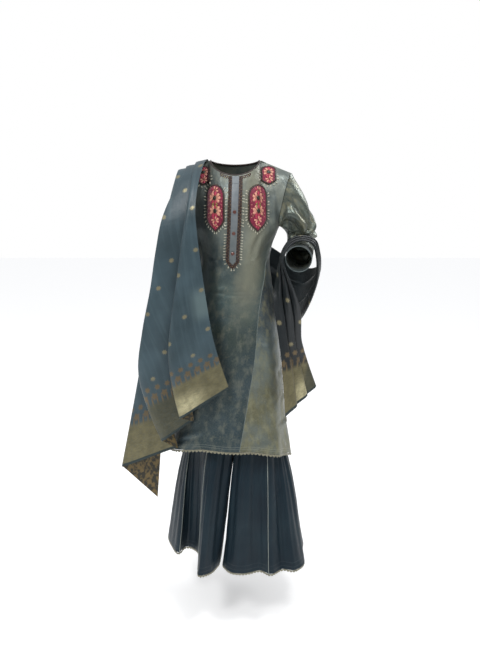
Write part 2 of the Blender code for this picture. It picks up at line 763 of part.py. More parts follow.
def hip_point(side, turn):
    """The hip's outline: half an ellipse outside, and a flat inside between the legs."""
    if turn <= BACK_CENTRE_TURN:
        angle = math.pi * turn / BACK_CENTRE_TURN
        depth = HIP_FRONT if angle < math.pi / 2 else HIP_BACK
        across = LEG_GAP / 2 + (HIP_HALF_WIDTH - LEG_GAP / 2) * math.sin(angle)
        return np.array([side * across, -depth * math.cos(angle)])
    share = (turn - BACK_CENTRE_TURN) / (1 - BACK_CENTRE_TURN)
    return np.array([side * LEG_GAP / 2, HIP_BACK - share * (HIP_FRONT + HIP_BACK)])


def leg_normal(side, turn, level):
    ahead = leg_point(side, min(turn + STEP, 1.0), level) - leg_point(side, max(turn - STEP, 0.0), level)
    down = leg_point(side, turn, min(level + STEP, 1.0)) - leg_point(side, turn, max(level - STEP, 0.0))
    return side * unit(np.cross(down, ahead))


def leg_grid(side, levels, start, end, columns):
    turns = np.linspace(start, end, columns + 1)
    points = np.array([[leg_point(side, turn, level) for turn in turns] for level in levels])
    normals = np.array([[leg_normal(side, turn, level) for turn in turns] for level in levels])
    return points, normals


def make_legs(satin, lace, cream):
    for side, which in ((1, "left"), (-1, "right")):
        seams = [0.0, *LEG_PANELS[which]]
        for name, start, end, columns in zip(LEG_PANEL_NAMES, seams, seams[1:], LEG_PANELS["columns"]):
            points, normals = leg_grid(side, LEG_LEVELS, start, end, int(columns))
            points = trim(points, SEAM_GAP, sides=True)
            wall(f"sharara_{which}_{name}", points, normals, SHARARA_CLOTH, satin)
        levels = LEG_LEVELS[CROTCH_LEVEL:]
        points, normals = leg_grid(side, levels, BACK_CENTRE_TURN, 1.0, INNER_COLUMNS)
        points[:, 0] += 0.0012 * along(points[:, 1] - points[:, 0])
        points[:, -1] += 0.0012 * along(points[:, -2] - points[:, -1])
        wall(f"sharara_{which}_inner", points, normals, SHARARA_CLOTH, satin)
        make_leg_lace(side, which, lace)
        for where, turn in zip(PIPED_SEAMS, LEG_PANELS[which]):
            make_piping(side, which, where, turn, cream)


def make_leg_lace(side, which, lace):
    """An edging below a leg's hem, all the way round."""
    turns = np.linspace(0, 1, 56, endpoint=False)
    hem = np.array([leg_point(side, turn, 1.0) for turn in turns])
    normals = np.array([leg_normal(side, turn, 1.0) for turn in turns])
    normals[0] = unit(leg_normal(side, 0.0, 1.0) + leg_normal(side, 1.0, 1.0))
    down = np.array([0.0, 0.0, -1.0])
    points = np.array([hem + down * LACE_GAP, hem + down * LACE_WIDTH])
    wall(f"sharara_{which}_hem_lace", points, np.array([normals, normals]), LACE_THICKNESS, lace, closed=True)


def make_piping(side, which, where, turn, cream):
    """A narrow cord laid along a leg's seam."""
    lifted = SHARARA_CLOTH / 2 + PIPING_STANDOFF + PIPING_THICKNESS / 2
    points = []
    normals = []
    for level in LEG_LEVELS:
        point = leg_point(side, turn, level)
        normal = leg_normal(side, turn, level)
        ahead = leg_point(side, turn + STEP, level) - leg_point(side, turn - STEP, level)
        ahead = unit(ahead - normal * (ahead @ normal))
        points.append([point - ahead * PIPING_WIDTH / 2, point + ahead * PIPING_WIDTH / 2])
        normals.append([normal, normal])
    name = f"sharara_{which}_piping_{where}"
    wall(name, np.array(points), np.array(normals), PIPING_THICKNESS, cream, lifted=lifted)


def make_waistband(satin):
    """The sharara's band, all the way round under the kurta."""
    turns = np.linspace(0, 2 * math.pi, 32, endpoint=False)
    across = HIP_HALF_WIDTH * WAIST_SHARE
    depths = [WAIST_SHARE * (HIP_FRONT if math.cos(a) > 0 else HIP_BACK) for a in turns]
    ring = np.array([[across * math.sin(a), -deep * math.cos(a), 0.0] for a, deep in zip(turns, depths)])
    normals = along(np.array([[math.sin(a) / across, -math.cos(a) / deep, 0.0] for a, deep in zip(turns, depths)]))
    low = np.array([0.0, 0.0, SHARARA_WAIST_HEIGHT + SEAM_GAP])
    high = np.array([0.0, 0.0, SHARARA_WAIST_HEIGHT + WAISTBAND_WIDTH])
    points = np.array([ring + low, ring + high])
    wall("sharara_waistband", points, np.array([normals, normals]), SHARARA_CLOTH, satin, closed=True)


# Dupatta

# It is one length of cloth in seven folded edges, from the inner or upper edge (0) to the outer or lower edge (6).
# Between them it goes to and fro in knife pleats. The front fall has one table for each folded edge, with a row at
# the hem, the hip, the waist, the chest, below the shoulder and on top of it.
FRONT_FALL = (
    table(
        "x y height",
        (-0.018, -0.204, 0.858),
        (-0.066, -0.190, 1.012),
        (-0.101, -0.168, 1.234),
        (-0.117, -0.150, 1.410),
        (-0.098, -0.088, 1.522),
        (-0.086, 0.000, 1.549),
    ),
    table(
        "x y height",
        (-0.173, -0.202, 0.757),
        (-0.206, -0.184, 0.950),
        (-0.173, -0.162, 1.215),
        (-0.144, -0.143, 1.400),
        (-0.127, -0.082, 1.513),
        (-0.120, 0.000, 1.5405),
    ),
    table(
        "x y height",
        (-0.130, -0.188, 0.745),
        (-0.155, -0.168, 0.940),
        (-0.150, -0.149, 1.210),
        (-0.131, -0.134, 1.400),
        (-0.114, -0.077, 1.5115),
        (-0.109, 0.000, 1.5375),
    ),
    table(
        "x y height",
        (-0.235, -0.174, 0.670),
        (-0.306, -0.146, 0.885),
        (-0.262, -0.128, 1.160),
        (-0.221, -0.108, 1.375),
        (-0.162, -0.066, 1.497),
        (-0.152, 0.000, 1.5275),
    ),
    table(
        "x y height",
        (-0.185, -0.158, 0.640),
        (-0.228, -0.128, 0.860),
        (-0.214, -0.112, 1.150),
        (-0.186, -0.100, 1.370),
        (-0.149, -0.062, 1.4955),
        (-0.141, 0.000, 1.5255),
    ),
    table(
        "x y height",
        (-0.375, -0.130, 0.562),
        (-0.322, -0.106, 0.820),
        (-0.263, -0.092, 1.120),
        (-0.216, -0.086, 1.360),
        (-0.187, -0.052, 1.482),
        (-0.178, 0.000, 1.517),
    ),
    table(
        "x y height",
        (-0.264, -0.100, 0.436),
        (-0.240, -0.084, 0.740),
        (-0.226, -0.076, 1.100),
        (-0.193, -0.074, 1.360),
        (-0.170, -0.049, 1.4795),
        (-0.165, 0.000, 1.516),
    ),
)

# The rest of its length, from behind the shoulder to the fall's hem: the upper edge's place, the lower edge's, the
# direction towards the body, how far it is gathered into pleats (1) or lies open (0), and the waves between.
BEHIND = table(
    "x y height x_low y_low height_low to_x to_y to_z gathered wave",
    (-0.082, 0.062, 1.530, -0.185, 0.056, 1.492, 0.0, -0.80, -0.60, 0.9, 0.002),
    (-0.062, 0.128, 1.440, -0.212, 0.100, 1.370, 0.1, -1.0, -0.15, 0.5, 0.004),
    (-0.018, 0.140, 1.355, -0.172, 0.150, 1.165, 0.1, -1.0, -0.05, 0.2, 0.007),
    (0.060, 0.136, 1.300, -0.030, 0.196, 1.010, 0.0, -1.0, 0.0, 0.0, 0.009),
    (0.150, 0.128, 1.240, 0.115, 0.190, 0.965, -0.2, -1.0, 0.0, 0.1, 0.009),
    (0.232, 0.092, 1.195, 0.205, 0.115, 0.985, -0.7, -0.7, 0.0, 0.5, 0.006),
    (0.268, 0.020, 1.205, 0.238, 0.000, 1.050, -1.0, 0.0, 0.0, 1.0, 0.0),
    (0.272, -0.040, 1.228, 0.268, -0.090, 1.190, -1.0, 0.0, 0.0, 1.0, 0.0),
    (0.250, -0.066, 1.306, 0.244, -0.116, 1.299, -0.7, 0.0, -0.7, 1.0, 0.0),
    (0.180, -0.066, 1.310, 0.176, -0.116, 1.303, 0.5, 0.0, -0.85, 1.0, 0.0),
    (0.144, -0.066, 1.250, 0.142, -0.116, 1.245, 1.0, 0.0, 0.0, 1.0, 0.0),
    (0.130, -0.070, 1.180, 0.172, -0.128, 1.170, 0.81, 0.59, 0.0, 1.0, 0.0),
    (0.122, -0.090, 1.120, 0.196, -0.120, 1.115, 0.37, 0.93, 0.0, 1.0, 0.0),
    (0.130, -0.105, 1.050, 0.212, -0.100, 1.050, 0.0, 1.0, 0.0, 1.0, 0.0),
    (0.141, -0.115, 0.980, 0.218, -0.085, 0.985, 0.0, 1.0, 0.0, 1.0, 0.0),
    (0.151, -0.125, 0.890, 0.243, -0.065, 0.905, 0.0, 1.0, 0.0, 1.0, 0.0),
    (0.163, -0.135, 0.738, 0.274, -0.060, 0.818, 0.0, 1.0, 0.0, 1.0, 0.0),
)
PLEAT_SHARES = (0.0, 0.36, 0.23, 0.70, 0.57, 1.0, 0.86)
PLEAT_DEPTHS = (0.0, 0.0, 2.0, 1.2, 3.2, 2.4, 4.4)  # towards the body, in fold radii
RIDGE_STATION = 5
FRONT_TURNS = (90, 90, 88, 80, 40, 0)  # degrees that the direction towards the body has turned from straight down
FRONT_RADII = (0.0055, 0.0055, 0.0050, 0.0035, 0.0018, 0.0012)
BEHIND_RADIUS = table(
    "station radius",
    (6, 0.0018),
    (7, 0.0032),
    (8, 0.0032),
    (9, 0.0024),
    (11, 0.0034),
    (13, 0.0026),
    (16, 0.0022),
    (18, 0.0026),
    (22, 0.0040),
)
FOLD_REACH = 0.006
STATIONS_PER_STEP = 2
SPLIT_STATIONS = (5, 14.5)


def behind_section(at):
    """The folded edges, the direction towards the body and the folds' radius, behind the shoulder and beyond."""
    places = np.arange(len(BEHIND["x"]), dtype=float) + RIDGE_STATION + 1
    values = {name: float(hermite(places, column, at)) for name, column in BEHIND.items()}
    upper = np.array([values[name] for name in ("x", "y", "height")])
    lower = np.array([values[name] for name in ("x_low", "y_low", "height_low")])
    across = unit(lower - upper)
    towards = np.array([values[name] for name in ("to_x", "to_y", "to_z")])
    towards = unit(towards - across * (towards @ across))
    gathered = min(max(values["gathered"], 0.0), 1.0)
    radius = read(BEHIND_RADIUS, "radius", at)
    wave = values["wave"] * max(1 - 2 * gathered, 0)
    lines = []
    for k, (pleat, depth) in enumerate(zip(PLEAT_SHARES, PLEAT_DEPTHS)):
        share = gathered * pleat + (1 - gathered) * k / 6
        line = upper + share * (lower - upper)
        line = line - towards * (-1) ** k * wave
        lines.append(line + towards * gathered * radius * depth)
    return np.array(lines), towards, radius * gathered


def front_section(at):
    """The same for the front fall, which ends at the first place behind the shoulder."""
    lines = []
    towards = []
    for number, turned in enumerate(FRONT_TURNS):
        angle = math.radians(turned)
        lines.append([[fold["x"][number], fold["y"][number], fold["height"][number]] for fold in FRONT_FALL])
        towards.append([0.0, math.sin(angle), -math.cos(angle)])
    after, after_towards, after_radius = behind_section(RIDGE_STATION + 1)
    places = np.arange(RIDGE_STATION + 2, dtype=float)
    lines = hermite(places, np.array([*lines, after]), at)
    towards = unit(hermite(places, np.array([*towards, after_towards]), at))
    return lines, towards, float(np.interp(at, places, [*FRONT_RADII, after_radius]))


def dupatta_grid():
    """Rows of points from the front fall's hem over the shoulder to the arm fall's hem."""
    last = RIDGE_STATION + len(BEHIND["x"])
    at_rows = np.linspace(0, last, last * STATIONS_PER_STEP + 1)
    rows = []
    for at in at_rows:
        section = front_section(at) if at < RIDGE_STATION + 1 else behind_section(at)
        rows.append(pleated_row(*section))
    return at_rows, np.array(rows)


def pleated_row(edges, towards, radius):
    """One row across the cloth: a rounded turn at each folded edge and one point in the middle of each stretch."""
    row = [edges[0]]
    for k in range(1, len(edges) - 1):
        before = edges[k] - edges[k - 1]
        after = edges[k + 1] - edges[k]
        before = before - towards * (before @ towards)
        after = after - towards * (after @ towards)
        reach = min(FOLD_REACH, 0.25 * np.linalg.norm(before), 0.25 * np.linalg.norm(after))
        turn_in = edges[k] - towards * radius - unit(before) * reach
        turn_out = edges[k] + towards * radius + unit(after) * reach
        row.append((row[-1] + turn_in) / 2)
        row += [turn_in, edges[k], turn_out]
    row.append((row[-1] + edges[-1]) / 2)
    row.append(edges[-1])
    return np.array(row)


def make_dupatta(silk):
    at_rows, points = dupatta_grid()
    normals = grid_normals(points)
    bounds = [0, *SPLIT_STATIONS, at_rows[-1]]
    names = ("dupatta_front_fall", "dupatta_behind", "dupatta_arm_fall")
    for name, start, end in zip(names, bounds, bounds[1:]):
        kept = (at_rows >= start - 1e-6) & (at_rows <= end + 1e-6)
        part = trim(points[kept], SEAM_GAP, first_row=start > 0, last_row=end < at_rows[-1])
        wall(name, part, normals[kept], DUPATTA_CLOTH, silk)


def main():
    for piece in list(bpy.data.objects):
        bpy.data.objects.remove(piece, do_unlink=True)
    brocade = cloth("teal brocade", TEAL_BROCADE, roughness=0.45)
    gold = cloth("gold brocade", GOLD_BROCADE, roughness=0.40)
    satin = cloth("teal satin", TEAL_SATIN, roughness=0.50)
    silk = cloth("dupatta silk", DUPATTA_SILK, roughness=0.45)
    lace = cloth("cream lace", CREAM_LACE, roughness=0.80)
    cream = cloth("cream piping", CREAM_LACE, roughness=0.70)
    dark = cloth("dark binding", DARK_BINDING, roughness=0.70)
    pink = cloth("pink thread", PINK_THREAD, roughness=0.75)
    metal = cloth("button metal", BUTTON_METAL, roughness=0.35, metallic=0.6)
    make_kurta_body(brocade, gold)
    make_hem_lace(lace)
    make_neck_binding(dark)
    find = front_finder()
    make_patches(find, pink)
    make_placket(find, brocade, dark, metal)
    make_sleeve("sleeve_left", LEFT_SLEEVE, SLEEVE_ROWS, True, 1, brocade)
    make_sleeve("sleeve_right", RIGHT_SLEEVE, PLAIN_SLEEVE_ROWS, False, -1, brocade)
    make_waistband(satin)
    make_legs(satin, lace, cream)
    make_dupatta(silk)


main()
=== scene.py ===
"""A sharara suit as worn: brocade kurta with embroidered yoke, piped satin sharara and a silk dupatta.

The suit faces -Y and the wearer's left is +X. Tables give heights above the floor that the wearer stands
on, and the scene's own zero is at the neck sides of the shoulder line.
"""

import math

import bmesh
import bpy
import numpy as np
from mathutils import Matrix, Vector, noise
from mathutils.bvhtree import BVHTree


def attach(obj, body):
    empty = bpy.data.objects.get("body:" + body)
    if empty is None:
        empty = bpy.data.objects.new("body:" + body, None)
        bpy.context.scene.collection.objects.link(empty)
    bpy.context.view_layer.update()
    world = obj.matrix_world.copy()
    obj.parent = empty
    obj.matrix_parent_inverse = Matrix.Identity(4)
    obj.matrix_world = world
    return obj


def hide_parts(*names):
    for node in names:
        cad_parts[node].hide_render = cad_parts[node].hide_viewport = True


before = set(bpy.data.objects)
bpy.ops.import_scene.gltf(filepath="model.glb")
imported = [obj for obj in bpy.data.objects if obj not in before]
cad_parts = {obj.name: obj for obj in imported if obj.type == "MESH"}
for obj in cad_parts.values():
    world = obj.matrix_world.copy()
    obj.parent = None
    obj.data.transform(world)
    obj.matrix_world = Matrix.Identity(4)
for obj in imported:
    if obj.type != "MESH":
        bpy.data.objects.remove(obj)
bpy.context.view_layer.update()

# Driving dimensions, in metres
SHOULDER_HEIGHT = 1.545
CHEST_HEIGHT = 1.340
KURTA_HEM_HEIGHT = 0.600
NECK_HALF_WIDTH = 0.080
NECK_DROP_FRONT = 0.046
NECK_DROP_BACK = 0.014
NECK_DEPTH_FRONT = 0.090
NECK_DEPTH_BACK = 0.062
SHOULDER_TIP = (0.178, 0.0, 1.507)
ARMPIT = (0.141, 0.005, 1.340)
ARMHOLE_FRONT = 0.050
ARMHOLE_BACK = 0.046
ARMHOLE_INSET = 0.010
BUST_FULLNESS = 0.016
SHARARA_WAIST_HEIGHT = 1.085
SHARARA_HIP_HEIGHT = 0.900
SHARARA_HEM_HEIGHT = 0.215
PLACKET_HALF_WIDTH = 0.0105
EDGING_WIDTH = 0.010

# Cloth thicknesses and clearances
KURTA_CLOTH = 0.0016
SHARARA_CLOTH = 0.0016
DUPATTA_CLOTH = 0.0012
LACE_THICKNESS = 0.0012
SEAM_GAP = 0.0003
LACE_GAP = 0.0006
ARMHOLE_GAP = 0.0016

STEP = 1e-3  # how far apart two points of a surface are read to find its slope


def table(columns, *rows):
    """A short table with named columns."""
    values = np.array(rows, float)
    return {name: values[:, i] for i, name in enumerate(columns.split())}


def read(rows, column, at):
    """A column at a place along the table's first column, on a smooth curve through the rows."""
    places = next(iter(rows.values()))
    values = rows[column]
    at = min(max(at, places.min()), places.max())
    order = np.argsort(places)
    return float(hermite(places[order], values[order], at))


def hermite(places, values, at):
    """Smooth reading between rows: the slope at a row comes from its two neighbours."""
    slopes = np.gradient(values, places, axis=0)
    k = int(min(max(np.searchsorted(places, at) - 1, 0), len(places) - 2))
    span = places[k + 1] - places[k]
    t = (at - places[k]) / span
    return curve(t, span, values[k], slopes[k], values[k + 1], slopes[k + 1])


def curve(t, span, start, slope, end, next_slope):
    """A point at share t of a smooth curve between two points with given slopes."""
    leaving = (2 * t**3 - 3 * t**2 + 1) * start + (t**3 - 2 * t**2 + t) * span * slope
    arriving = (3 * t**2 - 2 * t**3) * end + (t**3 - t**2) * span * next_slope
    return leaving + arriving


def unit(vector):
    return vector / np.linalg.norm(vector)


def trim(points, gap, first_row=False):
    """Half of a seam's gap taken off the grid's sides, and off its top where that is a seam too."""
    cut = points.copy()
    if first_row:
        cut[0] += gap / 2 * along(points[1] - points[0])
    cut[:, 0] += gap / 2 * along(points[:, 1] - points[:, 0])
    cut[:, -1] += gap / 2 * along(points[:, -2] - points[:, -1])
    return cut


def along(vectors):
    return vectors / np.maximum(np.linalg.norm(vectors, axis=-1, keepdims=True), 1e-9)


# Kurta

# The body below the chest, by height: the middle's place across, half its width, and its depth before and
# behind the side seams.
KURTA_RINGS = table(
    "height middle half side front back",
    (1.340, 0.000, 0.141, 0.005, 0.122, 0.095),
    (1.290, 0.000, 0.121, 0.005, 0.110, 0.085),
    (1.240, 0.000, 0.112, 0.005, 0.100, 0.078),
    (1.180, 0.000, 0.119, 0.005, 0.100, 0.084),
    (1.100, -0.002, 0.132, 0.005, 0.110, 0.100),
    (1.000, -0.005, 0.149, 0.003, 0.126, 0.118),
    (0.850, -0.012, 0.172, 0.000, 0.148, 0.138),
    (0.700, -0.020, 0.194, 0.000, 0.168, 0.158),
    (0.600, -0.024, 0.212, 0.000, 0.184, 0.174),
)

# The front hem's height, from the wearer's right side (0) to the left side (1)
FRONT_HEM = table(
    "across height",
    (0.00, 0.580),
    (0.15, 0.612),
    (0.40, 0.640),
    (0.60, 0.632),
    (0.85, 0.590),
    (1.00, 0.556),
)

# The seams of the front's side panels, as shares of the way across
FRONT_SEAMS = table(
    "height right left",
    (1.340, 0.006, 0.994),
    (1.240, 0.090, 0.850),
    (1.114, 0.130, 0.717),
    (0.900, 0.160, 0.640),
    (0.600, 0.184, 0.556),
)

# Soft upright folds of the skirt: where they lie across the front, how wide they are and how far they
# stand out at the hem (below zero, how far they fall in), and the height they start from.
FRONT_FOLDS = table(
    "across width depth start",
    (0.10, 0.045, -0.010, 1.00),
    (0.24, 0.050, 0.008, 0.95),
    (0.37, 0.045, -0.007, 0.90),
    (0.50, 0.050, 0.006, 0.85),
    (0.63, 0.040, -0.009, 1.05),
    (0.74, 0.040, 0.010, 1.05),
    (0.84, 0.035, -0.005, 1.00),
    (0.93, 0.035, 0.007, 0.95),
)
BACK_FOLDS = table(
    "across width depth start",
    (0.09, 0.040, 0.007, 1.00),
    (0.22, 0.045, -0.010, 0.98),
    (0.36, 0.050, 0.009, 1.02),
    (0.50, 0.045, -0.009, 1.05),
    (0.66, 0.050, 0.009, 1.00),
    (0.80, 0.045, -0.010, 0.95),
    (0.92, 0.040, 0.006, 0.98),
)

FRONT_LEVELS = (0, 0.18, 0.36, 0.54, 0.77, 1, 1.07, 1.14, 1.22, 1.32, 1.45, 1.60, 1.74, 1.87, 2)
SHOULDER_COLUMNS = 4
NECK_COLUMNS = 12
SIDE_COLUMNS = 7
SHOULDER_SHARE = 0.28  # how much of the top edge each shoulder seam takes
SKIRT_FULLNESS = 0.05  # how much the hem fills out its corners, before and behind the side seams


def sleeve_hole(turn, behind):
    """A point on the wearer's left armhole: turn 0 is the shoulder tip and 1 the armpit."""
    angle = math.pi * turn
    tip = np.array(SHOULDER_TIP)
    pit = np.array(ARMPIT)
    point = (tip + pit) / 2 + (tip - pit) / 2 * math.cos(angle)
    reach = ARMHOLE_BACK if behind else -ARMHOLE_FRONT
    return point + np.array([-ARMHOLE_INSET, reach, 0.0]) * math.sin(angle)


def mirrored(point):
    return point * np.array([-1.0, 1.0, 1.0])


def top_edge(u, behind):
    """The shoulder seams and the neckline, from the wearer's right (0) to the left (1)."""
    across = 2 * u - 1
    side = abs(across)
    neck = 1 - 2 * SHOULDER_SHARE
    tip = np.array(SHOULDER_TIP)
    if side > neck:
        share = (side - neck) / (1 - neck)
        neck_side = np.array([NECK_HALF_WIDTH, 0.0, SHOULDER_HEIGHT])
        point = neck_side + share * (tip - neck_side)
    else:
        angle = math.pi / 2 * side / neck
        depth = NECK_DEPTH_BACK if behind else -NECK_DEPTH_FRONT
        drop = NECK_DROP_BACK if behind else NECK_DROP_FRONT
        lift = SHOULDER_HEIGHT - drop * math.cos(angle) ** 1.3
        point = np.array([NECK_HALF_WIDTH * math.sin(angle), depth * math.cos(angle), lift])
    return point if across > 0 else mirrored(point)


def body_point(u, height, behind):
    """The plain body below the chest, half way round, with its skirt's folds."""
    angle = math.pi * u
    half = read(KURTA_RINGS, "half", height)
    depth = read(KURTA_RINGS, "back" if behind else "front", height)
    folds = BACK_FOLDS if behind else FRONT_FOLDS
    stand = 0.0
    for across, width, size, start in zip(*folds.values()):
        grown = min(max((start - height) / (start - KURTA_HEM_HEIGHT), 0.0), 1.0)
        stand += size * grown**1.4 * math.exp(-(((u - across) / width) ** 2))
    skirt = (CHEST_HEIGHT - height) / (CHEST_HEIGHT - KURTA_HEM_HEIGHT)
    fuller = 1 + SKIRT_FULLNESS * max(skirt, 0.0) * math.sin(2 * angle) ** 2
    half = half * fuller + stand
    depth = depth * fuller + stand
    return np.array(
        [
            read(KURTA_RINGS, "middle", height) - half * math.cos(angle),
            read(KURTA_RINGS, "side", height) + (1 if behind else -1) * depth * math.sin(angle),
            height,
        ]
    )


def kurta_point(u, level, behind):
    """Level 0 is the top edge, 1 the chest line and 2 the hem."""
    if level >= 1:
        height = CHEST_HEIGHT - (level - 1) * (CHEST_HEIGHT - KURTA_HEM_HEIGHT)
        point = body_point(u, height, behind)
        low = read(FRONT_HEM, "height", u)
        if behind:
            low = read(FRONT_HEM, "height", 0.0) * (1 - u) + read(FRONT_HEM, "height", 1.0) * u
        point[2] = CHEST_HEIGHT - (level - 1) * (CHEST_HEIGHT - low)
        return point
    top = top_edge(u, behind)
    chest = body_point(u, CHEST_HEIGHT, behind)
    bow = sleeve_hole(level, behind) - (1 - level) * np.array(SHOULDER_TIP) - level * np.array(ARMPIT)
    if u < 0.5:
        bow = mirrored(bow)
    point = (1 - level) * top + level * chest + bow * abs(2 * u - 1) ** 2
    fullness = BUST_FULLNESS * math.sin(math.pi * u) ** 2 * math.sin(math.pi * level)
    point[1] += fullness if behind else -fullness
    return point


def seam_share(side, level):
    """Where a side panel's seam runs at a level, as a share of the way across."""
    height = CHEST_HEIGHT - (level - 1) * (CHEST_HEIGHT - KURTA_HEM_HEIGHT)
    return read(FRONT_SEAMS, side, height)


def main_shares():
    """The columns of the front and the back, with one at each neck side and more of them along the neck."""
    neck = 1 - SHOULDER_SHARE
    right = np.linspace(0, SHOULDER_SHARE, SHOULDER_COLUMNS + 1)
    middle = np.linspace(SHOULDER_SHARE, neck, NECK_COLUMNS + 1)
    left = np.linspace(neck, 1, SHOULDER_COLUMNS + 1)
    return np.concatenate([right, middle[1:], left[1:]])


def kurta_grid(behind, levels, start, end, shares):
    """Points between two edges, which are functions of the level."""
    points = []
    for level in levels:
        row = start(level) + shares * (end(level) - start(level))
        points.append([kurta_point(u, level, behind) for u in row])
    return np.array(points)


def right_side(level):
    return 0.0


def left_side(level):
    return 1.0


def front_right_edge(level):
    return seam_share("right", level) if level >= 1 else 0.0


def front_left_edge(level):
    return seam_share("left", level) if level >= 1 else 1.0


# The patches: where the middle lies across, the top and bottom heights, and the widest half width
PATCHES = {
    "bust_patch_right": (-0.059, 1.470, 1.334, 0.026),
    "bust_patch_left": (0.070, 1.470, 1.334, 0.027),
    "shoulder_patch_right": (-0.099, 1.526, 1.472, 0.020),
    "shoulder_patch_left": (0.105, 1.526, 1.474, 0.022),
}

PLACKET_MIDDLE = table("height middle", (1.495, 0.003), (1.350, -0.002), (1.238, -0.007), (1.205, -0.007))
PLACKET_TOP = 1.487
PLACKET_BOTTOM = 1.238
EDGING_BOTTOM = 1.212


# Sleeves: the middle of each section, how far the section leans towards hanging level (90 is straight
# out), how far the arm points forwards, how far it turns inwards, and the section's radii out from the
# body and to the front.
LEFT_SLEEVE = table(
    "share x y height lean forward inward out deep",
    (0.00, 0.1595, 0.0025, 1.4235, 78, 0, 0, 0.0855, 0.0480),
    (0.12, 0.1720, 0.0040, 1.4090, 71, 0, 0, 0.0740, 0.0530),
    (0.28, 0.1930, 0.0100, 1.3730, 44, 0, 0, 0.0550, 0.0550),
    (0.46, 0.2140, 0.0220, 1.3270, 14, 8, 0, 0.0460, 0.0550),
    (0.62, 0.2170, 0.0300, 1.2880, 6, 34, 4, 0.0450, 0.0560),
    (0.76, 0.2130, 0.0020, 1.2640, 4, 68, 12, 0.0430, 0.0480),
    (0.88, 0.2060, -0.0520, 1.2560, 0, 84, 14, 0.0420, 0.0420),
    (1.00, 0.1970, -0.1180, 1.2480, 0, 86, 14, 0.0410, 0.0400),
)
RIGHT_SLEEVE = table(
    "share x y height lean forward inward out deep",
    (0.00, 0.1595, 0.0025, 1.4235, 78, 0, 0, 0.0855, 0.0480),
    (0.10, 0.1670, 0.0060, 1.4080, 74, 0, 0, 0.0710, 0.0500),
    (0.22, 0.1780, 0.0100, 1.3600, 48, 0, 0, 0.0460, 0.0480),
    (0.40, 0.1790, 0.0140, 1.3020, 15, 0, 0, 0.0430, 0.0460),
    (0.70, 0.1860, 0.0140, 1.1850, 5, 0, 0, 0.0410, 0.0440),
    (1.00, 0.1910, 0.0100, 1.0600, 3, 0, 0, 0.0390, 0.0420),
)
SLEEVE_COLUMNS = 16
SLEEVE_ROWS = (0.06, 0.14, 0.22, 0.31, 0.40, 0.49, 0.57, 0.65, 0.73, 0.81, 0.90, 1.0)
PLAIN_SLEEVE_ROWS = (0.05, 0.13, 0.22, 0.32, 0.50, 0.75, 1.0)

# Creases of the bent sleeve: share along it, turn round it (0 outside, a quarter in front), size and reach
SLEEVE_CREASES = table(
    "share turn depth length width",
    (0.30, 0.20, -0.005, 0.07, 0.10),
    (0.44, 0.10, -0.006, 0.05, 0.12),
    (0.55, 0.02, -0.005, 0.04, 0.12),
    (0.62, 0.26, -0.004, 0.05, 0.12),
    (0.74, 0.12, -0.005, 0.05, 0.12),
)


def sleeve_section(sections, share):
    """The middle of a section and its two directions, out from the body and to the front."""
    centre = np.array([read(sections, name, share) for name in ("x", "y", "height")])
    lean, forward, inward = (math.radians(read(sections, n, share)) for n in ("lean", "forward", "inward"))
    out = np.array([math.cos(lean), 0.0, math.sin(lean)])
    ahead = np.array([math.sin(lean), 0.0, -math.cos(lean)])
    to_front = np.array([0.0, -1.0, 0.0])
    to_front = math.cos(forward) * to_front - math.sin(forward) * ahead
    turn = np.array(
        [
            [math.cos(inward), -math.sin(inward), 0.0],
            [math.sin(inward), math.cos(inward), 0.0],
            [0.0, 0.0, 1.0],
        ]
    )
    return centre, turn.T @ out, turn.T @ to_front


def sleeve_point(sections, turn, share, creased):
    centre, out, to_front = sleeve_section(sections, share)
    angle = 2 * math.pi * turn
    grow = 0.0
    if creased:
        for at, around, depth, length, width in zip(*SLEEVE_CREASES.values()):
            away = (turn - around + 0.5) % 1 - 0.5
            grow += depth * math.exp(-(((share - at - 0.6 * away) / length) ** 2) - (away / width) ** 2)
    wide = read(sections, "out", share) + grow
    deep = read(sections, "deep", share) + grow
    return centre + wide * math.cos(angle) * out + deep * math.sin(angle) * to_front


def hole_ring_point(turn):
    """The armhole's whole loop, with turn 0 at the shoulder tip and a quarter at the front."""
    turn = turn % 1
    return sleeve_hole(2 * turn, False) if turn <= 0.5 else sleeve_hole(2 * (1 - turn), True)


def grid_normals(points, closed=False):
    """Normals of a grid from its own points."""
    if closed:
        across = np.roll(points, -1, axis=1) - np.roll(points, 1, axis=1)
    else:
        across = np.gradient(points, axis=1)
    down = np.gradient(points, axis=0)
    return along(np.cross(down, across))


# Sharara

# The legs' shape at the hip, as an ellipse, and how it narrows to the waist
HIP_HALF_WIDTH = 0.136
HIP_FRONT = 0.104
HIP_BACK = 0.106
WAIST_SHARE = 0.910
LEG_GAP = 0.006

# How far the cloth has swung out from the hip to the hem, by the share of the drop between them
SWING = table(
    "fallen swung",
    (0.00, 0.00),
    (0.15, 0.03),
    (0.29, 0.11),
    (0.44, 0.34),
    (0.51, 0.45),
    (0.58, 0.56),
    (0.72, 0.72),
    (0.86, 0.85),
    (1.00, 1.00),
)

